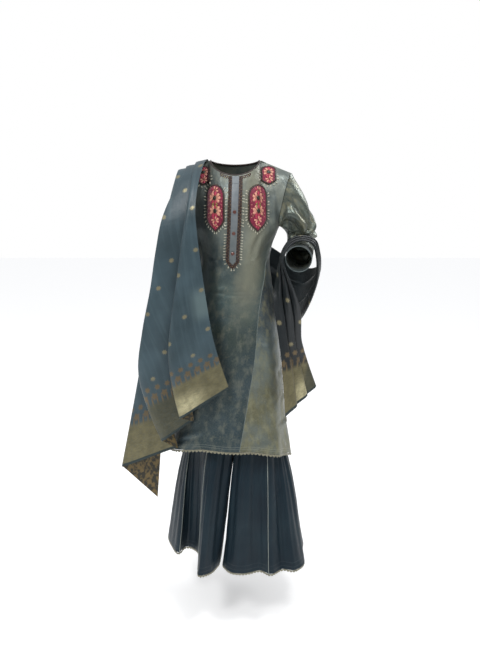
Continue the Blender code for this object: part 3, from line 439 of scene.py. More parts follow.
# Each leg's hem seen from above: turn round the leg from the front centre by the side to the back centre
# and along the inside, the place of the hem there, and how late the cloth swings out to it.
LEFT_HEM = table(
    "turn x y late",
    (0.00, -0.043, -0.160, 1.8),
    (0.04, -0.020, -0.196, 1.2),
    (0.10, 0.030, -0.207, 1.0),
    (0.16, 0.082, -0.190, 1.0),
    (0.22, 0.118, -0.212, 1.0),
    (0.28, 0.160, -0.182, 1.1),
    (0.33, 0.198, -0.190, 1.2),
    (0.38, 0.234, -0.150, 1.1),
    (0.44, 0.232, -0.080, 1.0),
    (0.49, 0.243, -0.010, 1.0),
    (0.54, 0.220, 0.060, 1.0),
    (0.59, 0.200, 0.130, 1.1),
    (0.64, 0.140, 0.155, 1.2),
    (0.69, 0.090, 0.190, 1.2),
    (0.75, 0.020, 0.175, 1.5),
    (0.81, -0.020, 0.140, 1.6),
    (0.88, -0.030, 0.040, 1.6),
    (0.94, -0.034, -0.060, 1.6),
    (1.00, -0.043, -0.160, 1.8),
)
RIGHT_HEM = table(
    "turn x y late",
    (0.00, -0.055, -0.152, 1.8),
    (0.05, -0.080, -0.200, 1.2),
    (0.11, -0.122, -0.217, 1.0),
    (0.17, -0.122, -0.150, 0.9),
    (0.22, -0.128, -0.088, 0.8),
    (0.27, -0.155, -0.052, 0.8),
    (0.31, -0.180, -0.050, 0.9),
    (0.35, -0.197, -0.086, 1.0),
    (0.41, -0.226, -0.040, 1.0),
    (0.47, -0.247, 0.035, 1.0),
    (0.53, -0.216, 0.095, 1.0),
    (0.58, -0.190, 0.155, 1.1),
    (0.64, -0.145, 0.150, 1.2),
    (0.70, -0.105, 0.195, 1.2),
    (0.76, -0.070, 0.170, 1.5),
    (0.82, -0.062, 0.130, 1.6),
    (0.88, -0.060, 0.040, 1.6),
    (0.94, -0.058, -0.060, 1.6),
    (1.00, -0.055, -0.152, 1.8),
)
BACK_CENTRE_TURN = 0.76

# The legs' panels: where each ends, as a turn round the leg on either side, and how many columns it has
LEG_PANELS = table(
    "left right columns",
    (0.21, 0.14, 8),
    (0.42, 0.35, 9),
    (0.60, 0.56, 9),
    (0.76, 0.76, 8),
)
LEG_PANEL_NAMES = ("front", "front_side", "back_side", "back")
LEG_LEVELS = np.linspace(0, 1, 10)
CROTCH_LEVEL = 3
INNER_COLUMNS = 6
PIPED_SEAMS = ("front", "side", "back")


def leg_point(side, turn, level):
    """Level 0 is the waistband's lower edge and 1 the hem."""
    height = SHARARA_WAIST_HEIGHT + level * (SHARARA_HEM_HEIGHT - SHARARA_WAIST_HEIGHT)
    hem = LEFT_HEM if side > 0 else RIGHT_HEM
    hip = hip_point(side, turn)
    narrowed = min(max((height - SHARARA_HIP_HEIGHT) / (SHARARA_WAIST_HEIGHT - SHARARA_HIP_HEIGHT), 0.0), 1.0)
    hip = hip * (1 - (1 - WAIST_SHARE) * narrowed)
    fallen = min(max((SHARARA_HIP_HEIGHT - height) / (SHARARA_HIP_HEIGHT - SHARARA_HEM_HEIGHT), 0.0), 1.0)
    swing = read(SWING, "swung", fallen) ** read(hem, "late", turn)
    out = np.array([read(hem, "x", turn), read(hem, "y", turn)])
    place = hip + swing * (out - hip)
    return np.array([place[0], place[1], height])


def hip_point(side, turn):
    """The hip's outline: half an ellipse outside, and a flat inside between the legs."""
    if turn <= BACK_CENTRE_TURN:
        angle = math.pi * turn / BACK_CENTRE_TURN
        depth = HIP_FRONT if angle < math.pi / 2 else HIP_BACK
        across = LEG_GAP / 2 + (HIP_HALF_WIDTH - LEG_GAP / 2) * math.sin(angle)
        return np.array([side * across, -depth * math.cos(angle)])
    share = (turn - BACK_CENTRE_TURN) / (1 - BACK_CENTRE_TURN)
    return np.array([side * LEG_GAP / 2, HIP_BACK - share * (HIP_FRONT + HIP_BACK)])


def leg_normal(side, turn, level):
    ahead = leg_point(side, min(turn + STEP, 1.0), level) - leg_point(side, max(turn - STEP, 0.0), level)
    down = leg_point(side, turn, min(level + STEP, 1.0)) - leg_point(side, turn, max(level - STEP, 0.0))
    return side * unit(np.cross(down, ahead))


def leg_grid(side, levels, start, end, columns):
    turns = np.linspace(start, end, columns + 1)
    return np.array([[leg_point(side, turn, level) for turn in turns] for level in levels])


# Dupatta

# It is one length of cloth in seven folded edges, from the inner or upper edge (0) to the outer or lower
# edge (6). Between them it goes to and fro in knife pleats. The front fall has one table for each folded
# edge, with a row at the hem, the hip, the waist, the chest, below the shoulder and on top of it.
FRONT_FALL = (
    table(
        "x y height",
        (-0.018, -0.204, 0.858),
        (-0.066, -0.190, 1.012),
        (-0.101, -0.168, 1.234),
        (-0.117, -0.150, 1.410),
        (-0.098, -0.088, 1.522),
        (-0.086, 0.000, 1.549),
    ),
    table(
        "x y height",
        (-0.173, -0.202, 0.757),
        (-0.206, -0.184, 0.950),
        (-0.173, -0.162, 1.215),
        (-0.144, -0.143, 1.400),
        (-0.127, -0.082, 1.513),
        (-0.120, 0.000, 1.5405),
    ),
    table(
        "x y height",
        (-0.130, -0.188, 0.745),
        (-0.155, -0.168, 0.940),
        (-0.150, -0.149, 1.210),
        (-0.131, -0.134, 1.400),
        (-0.114, -0.077, 1.5115),
        (-0.109, 0.000, 1.5375),
    ),
    table(
        "x y height",
        (-0.235, -0.174, 0.670),
        (-0.306, -0.146, 0.885),
        (-0.262, -0.128, 1.160),
        (-0.221, -0.108, 1.375),
        (-0.162, -0.066, 1.497),
        (-0.152, 0.000, 1.5275),
    ),
    table(
        "x y height",
        (-0.185, -0.158, 0.640),
        (-0.228, -0.128, 0.860),
        (-0.214, -0.112, 1.150),
        (-0.186, -0.100, 1.370),
        (-0.149, -0.062, 1.4955),
        (-0.141, 0.000, 1.5255),
    ),
    table(
        "x y height",
        (-0.375, -0.130, 0.562),
        (-0.322, -0.106, 0.820),
        (-0.263, -0.092, 1.120),
        (-0.216, -0.086, 1.360),
        (-0.187, -0.052, 1.482),
        (-0.178, 0.000, 1.517),
    ),
    table(
        "x y height",
        (-0.264, -0.100, 0.436),
        (-0.240, -0.084, 0.740),
        (-0.226, -0.076, 1.100),
        (-0.193, -0.074, 1.360),
        (-0.170, -0.049, 1.4795),
        (-0.165, 0.000, 1.516),
    ),
)

# The rest of its length, from behind the shoulder to the fall's hem: the upper edge's place, the lower
# edge's, the direction towards the body, how far it is gathered into pleats (1) or lies open (0), and the
# waves between.
BEHIND = table(
    "x y height x_low y_low height_low to_x to_y to_z gathered wave",
    (-0.082, 0.062, 1.530, -0.185, 0.056, 1.492, 0.0, -0.80, -0.60, 0.9, 0.002),
    (-0.062, 0.128, 1.440, -0.212, 0.100, 1.370, 0.1, -1.0, -0.15, 0.5, 0.004),
    (-0.018, 0.140, 1.355, -0.172, 0.150, 1.165, 0.1, -1.0, -0.05, 0.2, 0.007),
    (0.060, 0.136, 1.300, -0.030, 0.196, 1.010, 0.0, -1.0, 0.0, 0.0, 0.009),
    (0.150, 0.128, 1.240, 0.115, 0.190, 0.965, -0.2, -1.0, 0.0, 0.1, 0.009),
    (0.232, 0.092, 1.195, 0.205, 0.115, 0.985, -0.7, -0.7, 0.0, 0.5, 0.006),
    (0.268, 0.020, 1.205, 0.238, 0.000, 1.050, -1.0, 0.0, 0.0, 1.0, 0.0),
    (0.272, -0.040, 1.228, 0.268, -0.090, 1.190, -1.0, 0.0, 0.0, 1.0, 0.0),
    (0.250, -0.066, 1.306, 0.244, -0.116, 1.299, -0.7, 0.0, -0.7, 1.0, 0.0),
    (0.180, -0.066, 1.310, 0.176, -0.116, 1.303, 0.5, 0.0, -0.85, 1.0, 0.0),
    (0.144, -0.066, 1.250, 0.142, -0.116, 1.245, 1.0, 0.0, 0.0, 1.0, 0.0),
    (0.130, -0.070, 1.180, 0.172, -0.128, 1.170, 0.81, 0.59, 0.0, 1.0, 0.0),
    (0.122, -0.090, 1.120, 0.196, -0.120, 1.115, 0.37, 0.93, 0.0, 1.0, 0.0),
    (0.130, -0.105, 1.050, 0.212, -0.100, 1.050, 0.0, 1.0, 0.0, 1.0, 0.0),
    (0.141, -0.115, 0.980, 0.218, -0.085, 0.985, 0.0, 1.0, 0.0, 1.0, 0.0),
    (0.151, -0.125, 0.890, 0.243, -0.065, 0.905, 0.0, 1.0, 0.0, 1.0, 0.0),
    (0.163, -0.135, 0.738, 0.274, -0.060, 0.818, 0.0, 1.0, 0.0, 1.0, 0.0),
)
PLEAT_SHARES = (0.0, 0.36, 0.23, 0.70, 0.57, 1.0, 0.86)
PLEAT_DEPTHS = (0.0, 0.0, 2.0, 1.2, 3.2, 2.4, 4.4)  # towards the body, in fold radii
RIDGE_STATION = 5
FRONT_TURNS = (90, 90, 88, 80, 40, 0)  # degrees from straight down to the direction towards the body
FRONT_RADII = (0.0055, 0.0055, 0.0050, 0.0035, 0.0018, 0.0012)
BEHIND_RADIUS = table(
    "station radius",
    (6, 0.0018),
    (7, 0.0032),
    (8, 0.0032),
    (9, 0.0024),
    (11, 0.0034),
    (13, 0.0026),
    (16, 0.0022),
    (18, 0.0026),
    (22, 0.0040),
)
FOLD_REACH = 0.006
STATIONS_PER_STEP = 2


def behind_section(at):
    """The folded edges, the direction towards the body and the folds' radius, from behind the shoulder on."""
    places = np.arange(len(BEHIND["x"]), dtype=float) + RIDGE_STATION + 1
    values = {name: float(hermite(places, column, at)) for name, column in BEHIND.items()}
    upper = np.array([values[name] for name in ("x", "y", "height")])
    lower = np.array([values[name] for name in ("x_low", "y_low", "height_low")])
    across = unit(lower - upper)
    towards = np.array([values[name] for name in ("to_x", "to_y", "to_z")])
    towards = unit(towards - across * (towards @ across))
    gathered = min(max(values["gathered"], 0.0), 1.0)
    radius = read(BEHIND_RADIUS, "radius", at)
    wave = values["wave"] * max(1 - 2 * gathered, 0)
    lines = []
    for k, (pleat, depth) in enumerate(zip(PLEAT_SHARES, PLEAT_DEPTHS)):
        share = gathered * pleat + (1 - gathered) * k / 6
        line = upper + share * (lower - upper)
        line = line - towards * (-1) ** k * wave
        lines.append(line + towards * gathered * radius * depth)
    return np.array(lines), towards, radius * gathered


def front_section(at):
    """The same for the front fall, which ends at the first place behind the shoulder."""
    lines = []
    towards = []
    for number, turned in enumerate(FRONT_TURNS):
        angle = math.radians(turned)
        lines.append([[fold["x"][number], fold["y"][number], fold["height"][number]] for fold in FRONT_FALL])
        towards.append([0.0, math.sin(angle), -math.cos(angle)])
    after, after_towards, after_radius = behind_section(RIDGE_STATION + 1)
    places = np.arange(RIDGE_STATION + 2, dtype=float)
    lines = hermite(places, np.array([*lines, after]), at)
    towards = unit(hermite(places, np.array([*towards, after_towards]), at))
    return lines, towards, float(np.interp(at, places, [*FRONT_RADII, after_radius]))


def dupatta_grid():
    """Rows of points from the front fall's hem over the shoulder to the arm fall's hem."""
    last = RIDGE_STATION + len(BEHIND["x"])
    rows = []
    for at in np.linspace(0, last, last * STATIONS_PER_STEP + 1):
        section = front_section(at) if at < RIDGE_STATION + 1 else behind_section(at)
        rows.append(pleated_row(*section))
    return np.array(rows)


def pleated_row(edges, towards, radius):
    """One row across the cloth: a rounded turn at each folded edge and one point between two of them."""
    row = [edges[0]]
    for k in range(1, len(edges) - 1):
        before = edges[k] - edges[k - 1]
        after = edges[k + 1] - edges[k]
        before = before - towards * (before @ towards)
        after = after - towards * (after @ towards)
        reach = min(FOLD_REACH, 0.25 * np.linalg.norm(before), 0.25 * np.linalg.norm(after))
        turn_in = edges[k] - towards * radius - unit(before) * reach
        turn_out = edges[k] + towards * radius + unit(after) * reach
        row.append((row[-1] + turn_in) / 2)
        row += [turn_in, edges[k], turn_out]
    row.append((row[-1] + edges[-1]) / 2)
    row.append(edges[-1])
    return np.array(row)


# Cloth shells

DROP = np.array([0.0, 0.0, SHOULDER_HEIGHT])


def finer(grid, rows, columns, closed=False):
    """More points between a grid's own, on smooth curves along and across it."""
    wrap = 4
    if closed:
        grid = np.concatenate([grid[:, -wrap:], grid, grid[:, :wrap]], axis=1)
    for axis, count in ((0, rows), (1, columns)):
        size = grid.shape[axis]
        gaps = np.linalg.norm(np.diff(grid, axis=axis), axis=-1).mean(axis=1 - axis)
        places = np.concatenate([[0.0], np.cumsum(gaps)])
        slopes = np.gradient(grid, places, axis=axis)
        at = np.linspace(0, size - 1, (size - 1) * count + 1)
        k = np.minimum(at.astype(int), size - 2)
        turned = (-1, 1, 1) if axis == 0 else (1, -1, 1)
        t = (at - k).reshape(turned)
        span = gaps[k].reshape(turned)
        start, end = np.take(grid, k, axis=axis), np.take(grid, k + 1, axis=axis)
        slope, next_slope = np.take(slopes, k, axis=axis), np.take(slopes, k + 1, axis=axis)
        grid = curve(t, span, start, slope, end, next_slope)
    if closed:
        grid = grid[:, wrap * columns : -wrap * columns + columns - 1]
    return grid


def crease_field(flat, creases):
    """How far each point of a flat plan is pushed out, by creases drawn on that plan.

    Each crease is (width, depth, points). Its depth is below zero for a trough, and it fades at both ends.
    """
    push = np.zeros(flat.shape[:-1])
    for width, depth, points in creases:
        line = np.array(points, float)
        lengths = np.linalg.norm(np.diff(line, axis=0), axis=1)
        whole = lengths.sum()
        nearest = np.full(flat.shape[:-1], 9.0)
        share = np.zeros(flat.shape[:-1])
        run = 0.0
        for start, end, length in zip(line, line[1:], lengths):
            ahead = (end - start) / length
            along_it = np.clip((flat - start) @ ahead, 0, length)
            away = np.linalg.norm(flat - start - along_it[..., None] * ahead, axis=-1)
            closer = away < nearest
            nearest = np.where(closer, away, nearest)
            share = np.where(closer, (run + along_it) / whole, share)
            run += length
        fade = np.sin(np.pi * np.clip(0.08 + 0.84 * share, 0, 1)) ** 0.7
        ridge = np.exp(-((nearest / width) ** 2))
        beside = np.exp(-(((nearest - 2.1 * width) / width) ** 2))
        shape = ridge - 0.35 * beside
        push += depth * fade * shape
    return push


def ripple(points, size, depth, seed):
    """Faint unevenness of cloth, from smooth noise in space."""
    flat = (points / size).reshape(-1, 3)
    shift = Vector((seed * 3.7, seed * 1.3, seed * 5.1))
    values = np.array([noise.noise(Vector(point) + shift) for point in flat])
    return depth * values.reshape(points.shape[:-1])


def steps_between(points, axis):
    """Distance run along one way of a grid, from its start."""
    gaps = np.linalg.norm(np.diff(points, axis=axis), axis=-1)
    start = np.zeros_like(np.take(gaps, [0], axis=axis))
    return np.concatenate([start, np.cumsum(gaps, axis=axis)], axis=axis)


def shell(name, middle, normals, thickness, finish, cut, closed=False, lining=None):
    """A thin sheet of cloth with two skins, from its middle surface.

    cut holds each point's place on the flat cloth, (across, along) in metres.
    """
    rows, columns = middle.shape[:2]
    outer = middle + normals * thickness / 2 - DROP
    inner = middle - normals * thickness / 2 - DROP
    wide = columns if closed else columns - 1
    verts = np.concatenate([outer.reshape(-1, 3), inner.reshape(-1, 3)])
    index = np.arange(rows * columns).reshape(rows, columns)
    here = index[:-1, :wide]
    right = np.roll(index, -1, axis=1)[:-1, :wide]
    below = index[1:, :wide]
    corner = np.roll(index, -1, axis=1)[1:, :wide]
    skin = np.stack([here, below, corner, right], axis=-1).reshape(-1, 4)
    half = rows * columns
    faces = [skin, skin[:, ::-1] + half]
    top = np.stack([index[0, :wide], np.roll(index[0], -1)[:wide]], axis=-1)
    low = np.stack([index[-1, :wide], np.roll(index[-1], -1)[:wide]], axis=-1)
    faces.append(np.stack([top[:, 0], top[:, 1], top[:, 1] + half, top[:, 0] + half], axis=-1))
    faces.append(np.stack([low[:, 1], low[:, 0], low[:, 0] + half, low[:, 1] + half], axis=-1))
    if not closed:
        first = np.stack([index[1:, 0], index[:-1, 0]], axis=-1)
        last = np.stack([index[:-1, -1], index[1:, -1]], axis=-1)
        for edge in (first, last):
            faces.append(np.stack([edge[:, 0], edge[:, 1], edge[:, 1] + half, edge[:, 0] + half], axis=-1))
    counts = [len(part) for part in faces]
    faces = np.concatenate(faces)
    mesh = bpy.data.meshes.new(name)
    mesh.from_pydata(verts.tolist(), [], faces.tolist())
    places = np.concatenate([cut.reshape(-1, 2), cut.reshape(-1, 2)])
    layer = mesh.uv_layers.new(name="Cut")
    layer.data.foreach_set("uv", places[faces.reshape(-1)].reshape(-1))
    mesh.materials.append(finish)
    if lining:
        mesh.materials.append(lining)
        slots = np.zeros(len(faces), int)
        slots[counts[0] : counts[0] + counts[1]] = 1
        mesh.polygons.foreach_set("material_index", slots)
    mesh.shade_smooth()
    mesh.set_sharp_from_angle(angle=math.radians(60))
    piece = bpy.data.objects.new(name, mesh)
    bpy.context.scene.collection.objects.link(piece)
    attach(piece, "root")
    return piece


def centred_cut(middle, origin_column=None):
    """Cut-cloth places: across from a column and along from the hem."""
    across = steps_between(middle, 1)
    column = middle.shape[1] // 2 if origin_column is None else origin_column
    across = across - across[:, column : column + 1]
    down = steps_between(middle, 0)
    return np.stack([across, down[-1:] - down], axis=-1)


# Finishes

RELIEF_UNIT = 0.001  # heights are added up in millimetres


class Weave:
    """A procedural finish whose pattern follows the piece's own cut, in metres."""

    def __init__(self, name, roughness=0.5, metallic=0.0, sheen=0.0, anisotropic=0.0, on_object=False):
        self.material = bpy.data.materials.new(name)
        self.material.use_nodes = True
        self.tree = self.material.node_tree
        self.shader = self.tree.nodes["Principled BSDF"]
        self.shader.inputs["Roughness"].default_value = roughness
        self.shader.inputs["Metallic"].default_value = metallic
        self.shader.inputs["Sheen Weight"].default_value = sheen
        self.shader.inputs["Sheen Roughness"].default_value = 0.4
        self.shader.inputs["Anisotropic"].default_value = anisotropic
        place = self.tree.nodes.new("ShaderNodeTexCoord")
        self.place = place.outputs["Object" if on_object else "UV"]
        self.object_place = place.outputs["Object"]
        self.height = None

    def node(self, kind, **settings):
        made = self.tree.nodes.new("ShaderNode" + kind)
        for key, value in settings.items():
            setattr(made, key, value)
        return made

    def join(self, source, target):
        if isinstance(source, (int, float)):
            target.default_value = source
        elif isinstance(source, tuple):
            target.default_value = (*source, 1.0) if len(source) == 3 else source
        else:
            self.tree.links.new(source, target)

    def moved(self, scale=(1, 1, 1), turn=0.0):
        made = self.node("Mapping")
        self.join(self.place, made.inputs["Vector"])
        made.inputs["Scale"].default_value = scale
        made.inputs["Rotation"].default_value = (0, 0, turn)
        return made.outputs["Vector"]

    def maths(self, operation, first, second=0.0, third=0.0):
        made = self.node("Math", operation=operation)
        for value, socket in zip((first, second, third), made.inputs):
            self.join(value, socket)
        return made.outputs[0]

    def times(self, first, second):
        return self.maths("MULTIPLY", first, second)

    def most(self, first, second):
        return self.maths("MAXIMUM", first, second)

    def split(self, vector=None):
        made = self.node("SeparateXYZ")
        self.join(vector or self.place, made.inputs[0])
        return made.outputs

    def noise(self, scale, detail=2.0, rough=0.5, vector=None):
        made = self.node("TexNoise")
        made.inputs["Scale"].default_value = scale
        made.inputs["Detail"].default_value = detail
        made.inputs["Roughness"].default_value = rough
        self.join(vector or self.place, made.inputs["Vector"])
        return made.outputs["Fac"]

    def cells(self, scale):
        made = self.node("TexVoronoi")
        made.inputs["Scale"].default_value = scale
        self.join(self.place, made.inputs["Vector"])
        return made.outputs["Distance"]

    def ramp(self, value, *stops):
        """A smooth step: each stop is (place, grey or colour)."""
        made = self.node("ValToRGB")
        band = made.color_ramp
        band.elements[0].position = stops[0][0]
        band.elements[1].position = stops[-1][0]
        for place, _ in stops[1:-1]:
            band.elements.new(place)
        for element, (_, colour) in zip(band.elements, stops):
            element.color = (*colour, 1.0) if isinstance(colour, tuple) else (colour, colour, colour, 1.0)
        self.join(value, made.inputs["Fac"])
        return made.outputs["Color"]

    def mix(self, amount, first, second):
        made = self.node("Mix", data_type="RGBA")
        self.join(amount, made.inputs[0])
        self.join(first, made.inputs[6])
        self.join(second, made.inputs[7])
        return made.outputs[2]

    def threads(self, pitch=0.0007):
        """Crossing threads, as a small relief from 0 to 1."""
        sides = self.split()
        waves = [self.maths("SINE", self.times(side, 2 * math.pi / pitch)) for side in (sides[0], sides[1])]
        return self.maths("MULTIPLY_ADD", self.times(*waves), 0.5, 0.5)

    def from_nearest(self, value, start, pitch):
        """How far a value lies from the nearest of evenly spaced places."""
        value = self.maths("SUBTRACT", value, start)
        nearest = self.times(self.maths("ROUND", self.maths("DIVIDE", value, pitch)), pitch)
        return self.maths("SUBTRACT", value, nearest)

    def buds(self, wide, tall, radius, shift=(0.0, 0.0), petals=6, depth=0.25):
        """Round flower-like motifs on a half-drop repeat: 1 inside a motif and 0 outside."""
        sides = self.split()
        shown = None
        for part in (0.0, 0.5):
            x = self.from_nearest(sides[0], shift[0] + part * wide, wide)
            y = self.from_nearest(sides[1], shift[1] + part * tall, tall)
            away = self.maths("SQRT", self.maths("ADD", self.times(x, x), self.times(y, y)))
            wave = self.maths("COSINE", self.times(self.maths("ARCTAN2", y, x), float(petals)))
            reach = self.maths("MULTIPLY_ADD", wave, radius * depth, radius)
            share = self.maths("SMOOTH_MIN", self.maths("DIVIDE", away, reach), 1.0, 0.2)
            inside = self.maths("SUBTRACT", 1.0, share)
            shown = inside if shown is None else self.most(shown, inside)
        return shown

    def rise(self, value, low, high, start=0.0, end=1.0):
        """A smooth change from start to end as the value goes from low to high."""
        made = self.node("MapRange", interpolation_type="SMOOTHSTEP")
        self.join(value, made.inputs["Value"])
        for socket, number in (("From Min", low), ("From Max", high), ("To Min", start), ("To Max", end)):
            made.inputs[socket].default_value = number
        return made.outputs["Result"]

    def band(self, value, low, high, soft=0.001):
        """1 between two values and 0 outside them."""
        rising = self.rise(value, low - soft, low + soft)
        falling = self.rise(value, high - soft, high + soft, 1.0, 0.0)
        return self.times(rising, falling)

    def raise_by(self, value, distance):
        """Adds relief of so many metres."""
        scaled = self.times(value, distance / RELIEF_UNIT)
        self.height = scaled if self.height is None else self.maths("ADD", self.height, scaled)

    def done(self, colour, roughness=None, metallic=None):
        self.join(colour, self.shader.inputs["Base Color"])
        if roughness is not None:
            self.join(roughness, self.shader.inputs["Roughness"])
        if metallic is not None:
            self.join(metallic, self.shader.inputs["Metallic"])
        if self.height is not None:
            bump = self.node("Bump")
            bump.inputs["Strength"].default_value = 1.0
            bump.inputs["Distance"].default_value = RELIEF_UNIT
            self.join(self.height, bump.inputs["Height"])
            self.join(bump.outputs["Normal"], self.shader.inputs["Normal"])
        return self.material


def linear(red, green, blue):
    """A colour given as it looks on a screen, 0 to 255."""
    shown = [value / 255 for value in (red, green, blue)]
    return tuple(v / 12.92 if v <= 0.04045 else ((v + 0.055) / 1.055) ** 2.4 for v in shown)


# The chest's lighter sage is partly the silk's own colour, partly painted sheen.
CHEST_SHEEN_SAGE = linear(126, 132, 124)
DEEP_TEAL = linear(42, 60, 66)
PALE_GOLD = linear(176, 170, 138)

FINE_PITCH = 0.0006  # between two threads of the dupatta's silk
STITCH_WIDTH = 0.0013
STITCH_LENGTH = 0.0018
STITCH_DEPTH = 0.0004
KURTA_STITCHES = (0.0085, 0.0150)  # how far the two rows of stitches are above the hem
SHARARA_STITCHES = (0.0105, 0.0240)


def hem_stitches(weave, low, high):
    """Two rows of stitches so far above a hem, with short gaps between the stitches."""
    sides = weave.split()
    rows = [weave.band(sides[1], at, at + STITCH_WIDTH, 0.0004) for at in (low, high)]
    gaps = weave.band(weave.maths("PINGPONG", sides[0], STITCH_LENGTH), 0.0004, 0.01, 0.0002)
    return weave.times(weave.most(*rows), gaps)


GROUND_SPAN = (-1.00, -0.05)  # the ground's colours run from here below the shoulders up to here


def make_tissue(name, ground, shot, gilt, depth, metallic, roughness):
    """Tissue brocade: worn-looking clouds of metal thread over a silk ground, and faint woven sprays."""
    weave = Weave(name, roughness=roughness, metallic=metallic, sheen=0.12, anisotropic=0.5)
    high = weave.split(weave.object_place)[2]
    colour = weave.ramp(weave.rise(high, *GROUND_SPAN), *ground)
    big = weave.noise(11.0, 4.0, rough=0.6)
    blotches = weave.noise(38.0, 4.0, rough=0.65, vector=weave.moved(scale=(1.0, 0.55, 1.0)))
    streaks = weave.noise(75.0, 2.0, vector=weave.moved(scale=(1.0, 0.10, 1.0)))
    fine = weave.noise(900.0, 1.0, vector=weave.moved(scale=(1.0, 0.22, 1.0)))
    colour = weave.mix(weave.ramp(big, (0.40, 0.0), (0.66, 0.65)), colour, shot)
    colour = weave.mix(weave.ramp(blotches, (0.48, 0.0), (0.70, 0.55)), colour, gilt)
    colour = weave.mix(weave.ramp(streaks, (0.50, 0.0), (0.78, 0.35)), colour, shot)
    sprays = weave.buds(0.066, 0.088, 0.0085, petals=5, depth=0.45)
    sprays = weave.ramp(sprays, (0.02, 0.0), (0.30, 1.0))
    torn = weave.ramp(weave.noise(120.0, 2.0), (0.42, 0.0), (0.60, 1.0))
    sprays = weave.times(sprays, torn)
    colour = weave.mix(weave.times(sprays, 0.12), colour, PALE_GOLD)
    colour = weave.mix(weave.ramp(fine, (0.42, 0.0), (0.72, 0.30)), colour, gilt)
    weave.raise_by(weave.threads(), 0.00008)
    weave.raise_by(blotches, 0.0011 * depth)
    weave.raise_by(weave.noise(26.0, 3.0), 0.0026 * depth)
    weave.raise_by(sprays, 0.00010)
    weave.rough = weave.ramp(blotches, (0.35, roughness - 0.08), (0.65, roughness + 0.14))
    return weave, colour


def make_kurta_cloth():
    """The kurta's tissue: grey-green and old gold on the chest, deeper teal towards the hem. The chest's
    lighter colour is partly painted sheen, with a painted highlight on the wearer's left of the middle and
    painted shade beside the dupatta.
    """
    # Lighter towards the chest: partly the silk's shot colour, partly painted sheen.
    ground = (
        (0.0, DEEP_TEAL),
        (0.30, linear(50, 66, 70)),
        (0.48, linear(56, 70, 66)),
        (0.62, linear(72, 92, 92)),
        (0.80, linear(92, 106, 102)),
        (1.0, CHEST_SHEEN_SAGE),
    )
    shot = linear(52, 70, 80)
    gilt = linear(124, 126, 112)
    weave, colour = make_tissue("kurta brocade", ground, shot, gilt, 0.7, metallic=0.42, roughness=0.40)
    sides = weave.split()
    high = weave.split(weave.object_place)[2]
    # Painted highlight: paler gold sheen on the chest, on the wearer's left of the middle.
    chest_sheen_mask = weave.times(weave.band(sides[0], 0.030, 0.105, 0.030), weave.band(high, -0.46, 0.01, 0.10))
    colour = weave.mix(weave.times(chest_sheen_mask, 0.55), colour, linear(146, 144, 122))
    # Painted shade: the dupatta's shadow darkens the chest on the wearer's right.
    dupatta_shadow_mask = weave.times(weave.band(sides[0], -0.30, -0.055, 0.030), weave.band(high, -0.46, -0.07, 0.06))
    colour = weave.mix(weave.times(dupatta_shadow_mask, 0.60), colour, linear(36, 52, 58))
    stitches = hem_stitches(weave, *KURTA_STITCHES)
    colour = weave.mix(weave.times(stitches, 0.55), colour, linear(130, 136, 126))
    weave.raise_by(stitches, -STITCH_DEPTH)
    return weave.done(colour, roughness=weave.rough)


def make_gold_brocade():
    """The side panel's tissue: olive gold near the hem, a pale band across its middle that is a painted
    highlight, and darker blue towards the waist that is painted shadow of the arm.
    """
    # The pale band near 0.34 is a painted highlight; the dark blue from 0.56 up is painted shadow of the arm.
    ground = (
        (0.0, linear(92, 92, 70)),
        (0.22, linear(98, 98, 78)),
        (0.34, linear(112, 122, 116)),
        (0.44, linear(86, 102, 106)),
        (0.56, linear(46, 60, 72)),
        (1.0, linear(60, 76, 84)),
    )
    shot = linear(104, 118, 122)
    gilt = linear(150, 146, 110)
    weave, colour = make_tissue("gold tissue", ground, shot, gilt, 1.1, metallic=0.50, roughness=0.36)
    stitches = hem_stitches(weave, *KURTA_STITCHES)
    colour = weave.mix(weave.times(stitches, 0.5), colour, linear(150, 152, 134))
    weave.raise_by(stitches, -STITCH_DEPTH)
    return weave.done(colour, roughness=weave.rough)


def make_sleeve_cloth():
    """The same tissue on the sleeves, with more metal thread, and a plain facing at the cuff."""
    ground = ((0.0, linear(84, 98, 96)), (1.0, linear(100, 110, 104)))
    shot = linear(60, 74, 78)
    gilt = linear(150, 142, 108)
    weave, colour = make_tissue("sleeve brocade", ground, shot, gilt, 0.35, metallic=0.60, roughness=0.30)
    from_cuff = weave.split()[1]
    cuff = weave.band(from_cuff, -0.01, 0.034, 0.0015)
    colour = weave.mix(weave.times(cuff, 0.70), colour, linear(104, 118, 122))
    weave.raise_by(weave.band(from_cuff, 0.0335, 0.0350, 0.0004), -0.0006)
    return weave.done(colour, roughness=weave.rough)


def make_sharara_cloth():
    """Plain satin-faced silk in deep teal, its threads running down the leg."""
    weave = Weave("sharara satin", roughness=0.42, metallic=0.0, sheen=0.04, anisotropic=0.5)
    weave.shader.inputs["Specular IOR Level"].default_value = 0.25
    cloudy = weave.noise(7.0, 2.0)
    streaks = weave.noise(120.0, 2.0, vector=weave.moved(scale=(1.0, 0.05, 1.0)))
    ground = weave.mix(weave.ramp(cloudy, (0.35, 0.0), (0.7, 1.0)), linear(13, 29, 39), linear(22, 41, 50))
    ground = weave.mix(weave.ramp(streaks, (0.45, 0.0), (0.8, 0.30)), ground, linear(34, 52, 60))
    stitches = hem_stitches(weave, *SHARARA_STITCHES)
    ground = weave.mix(weave.times(stitches, 0.45), ground, linear(60, 72, 76))
    weave.raise_by(weave.threads(), 0.00007)
    weave.raise_by(weave.noise(36.0, 3.0), 0.0006)
    weave.raise_by(stitches, -STITCH_DEPTH)
    rough = weave.ramp(streaks, (0.3, 0.36), (0.7, 0.50))
    return weave.done(ground, roughness=rough)


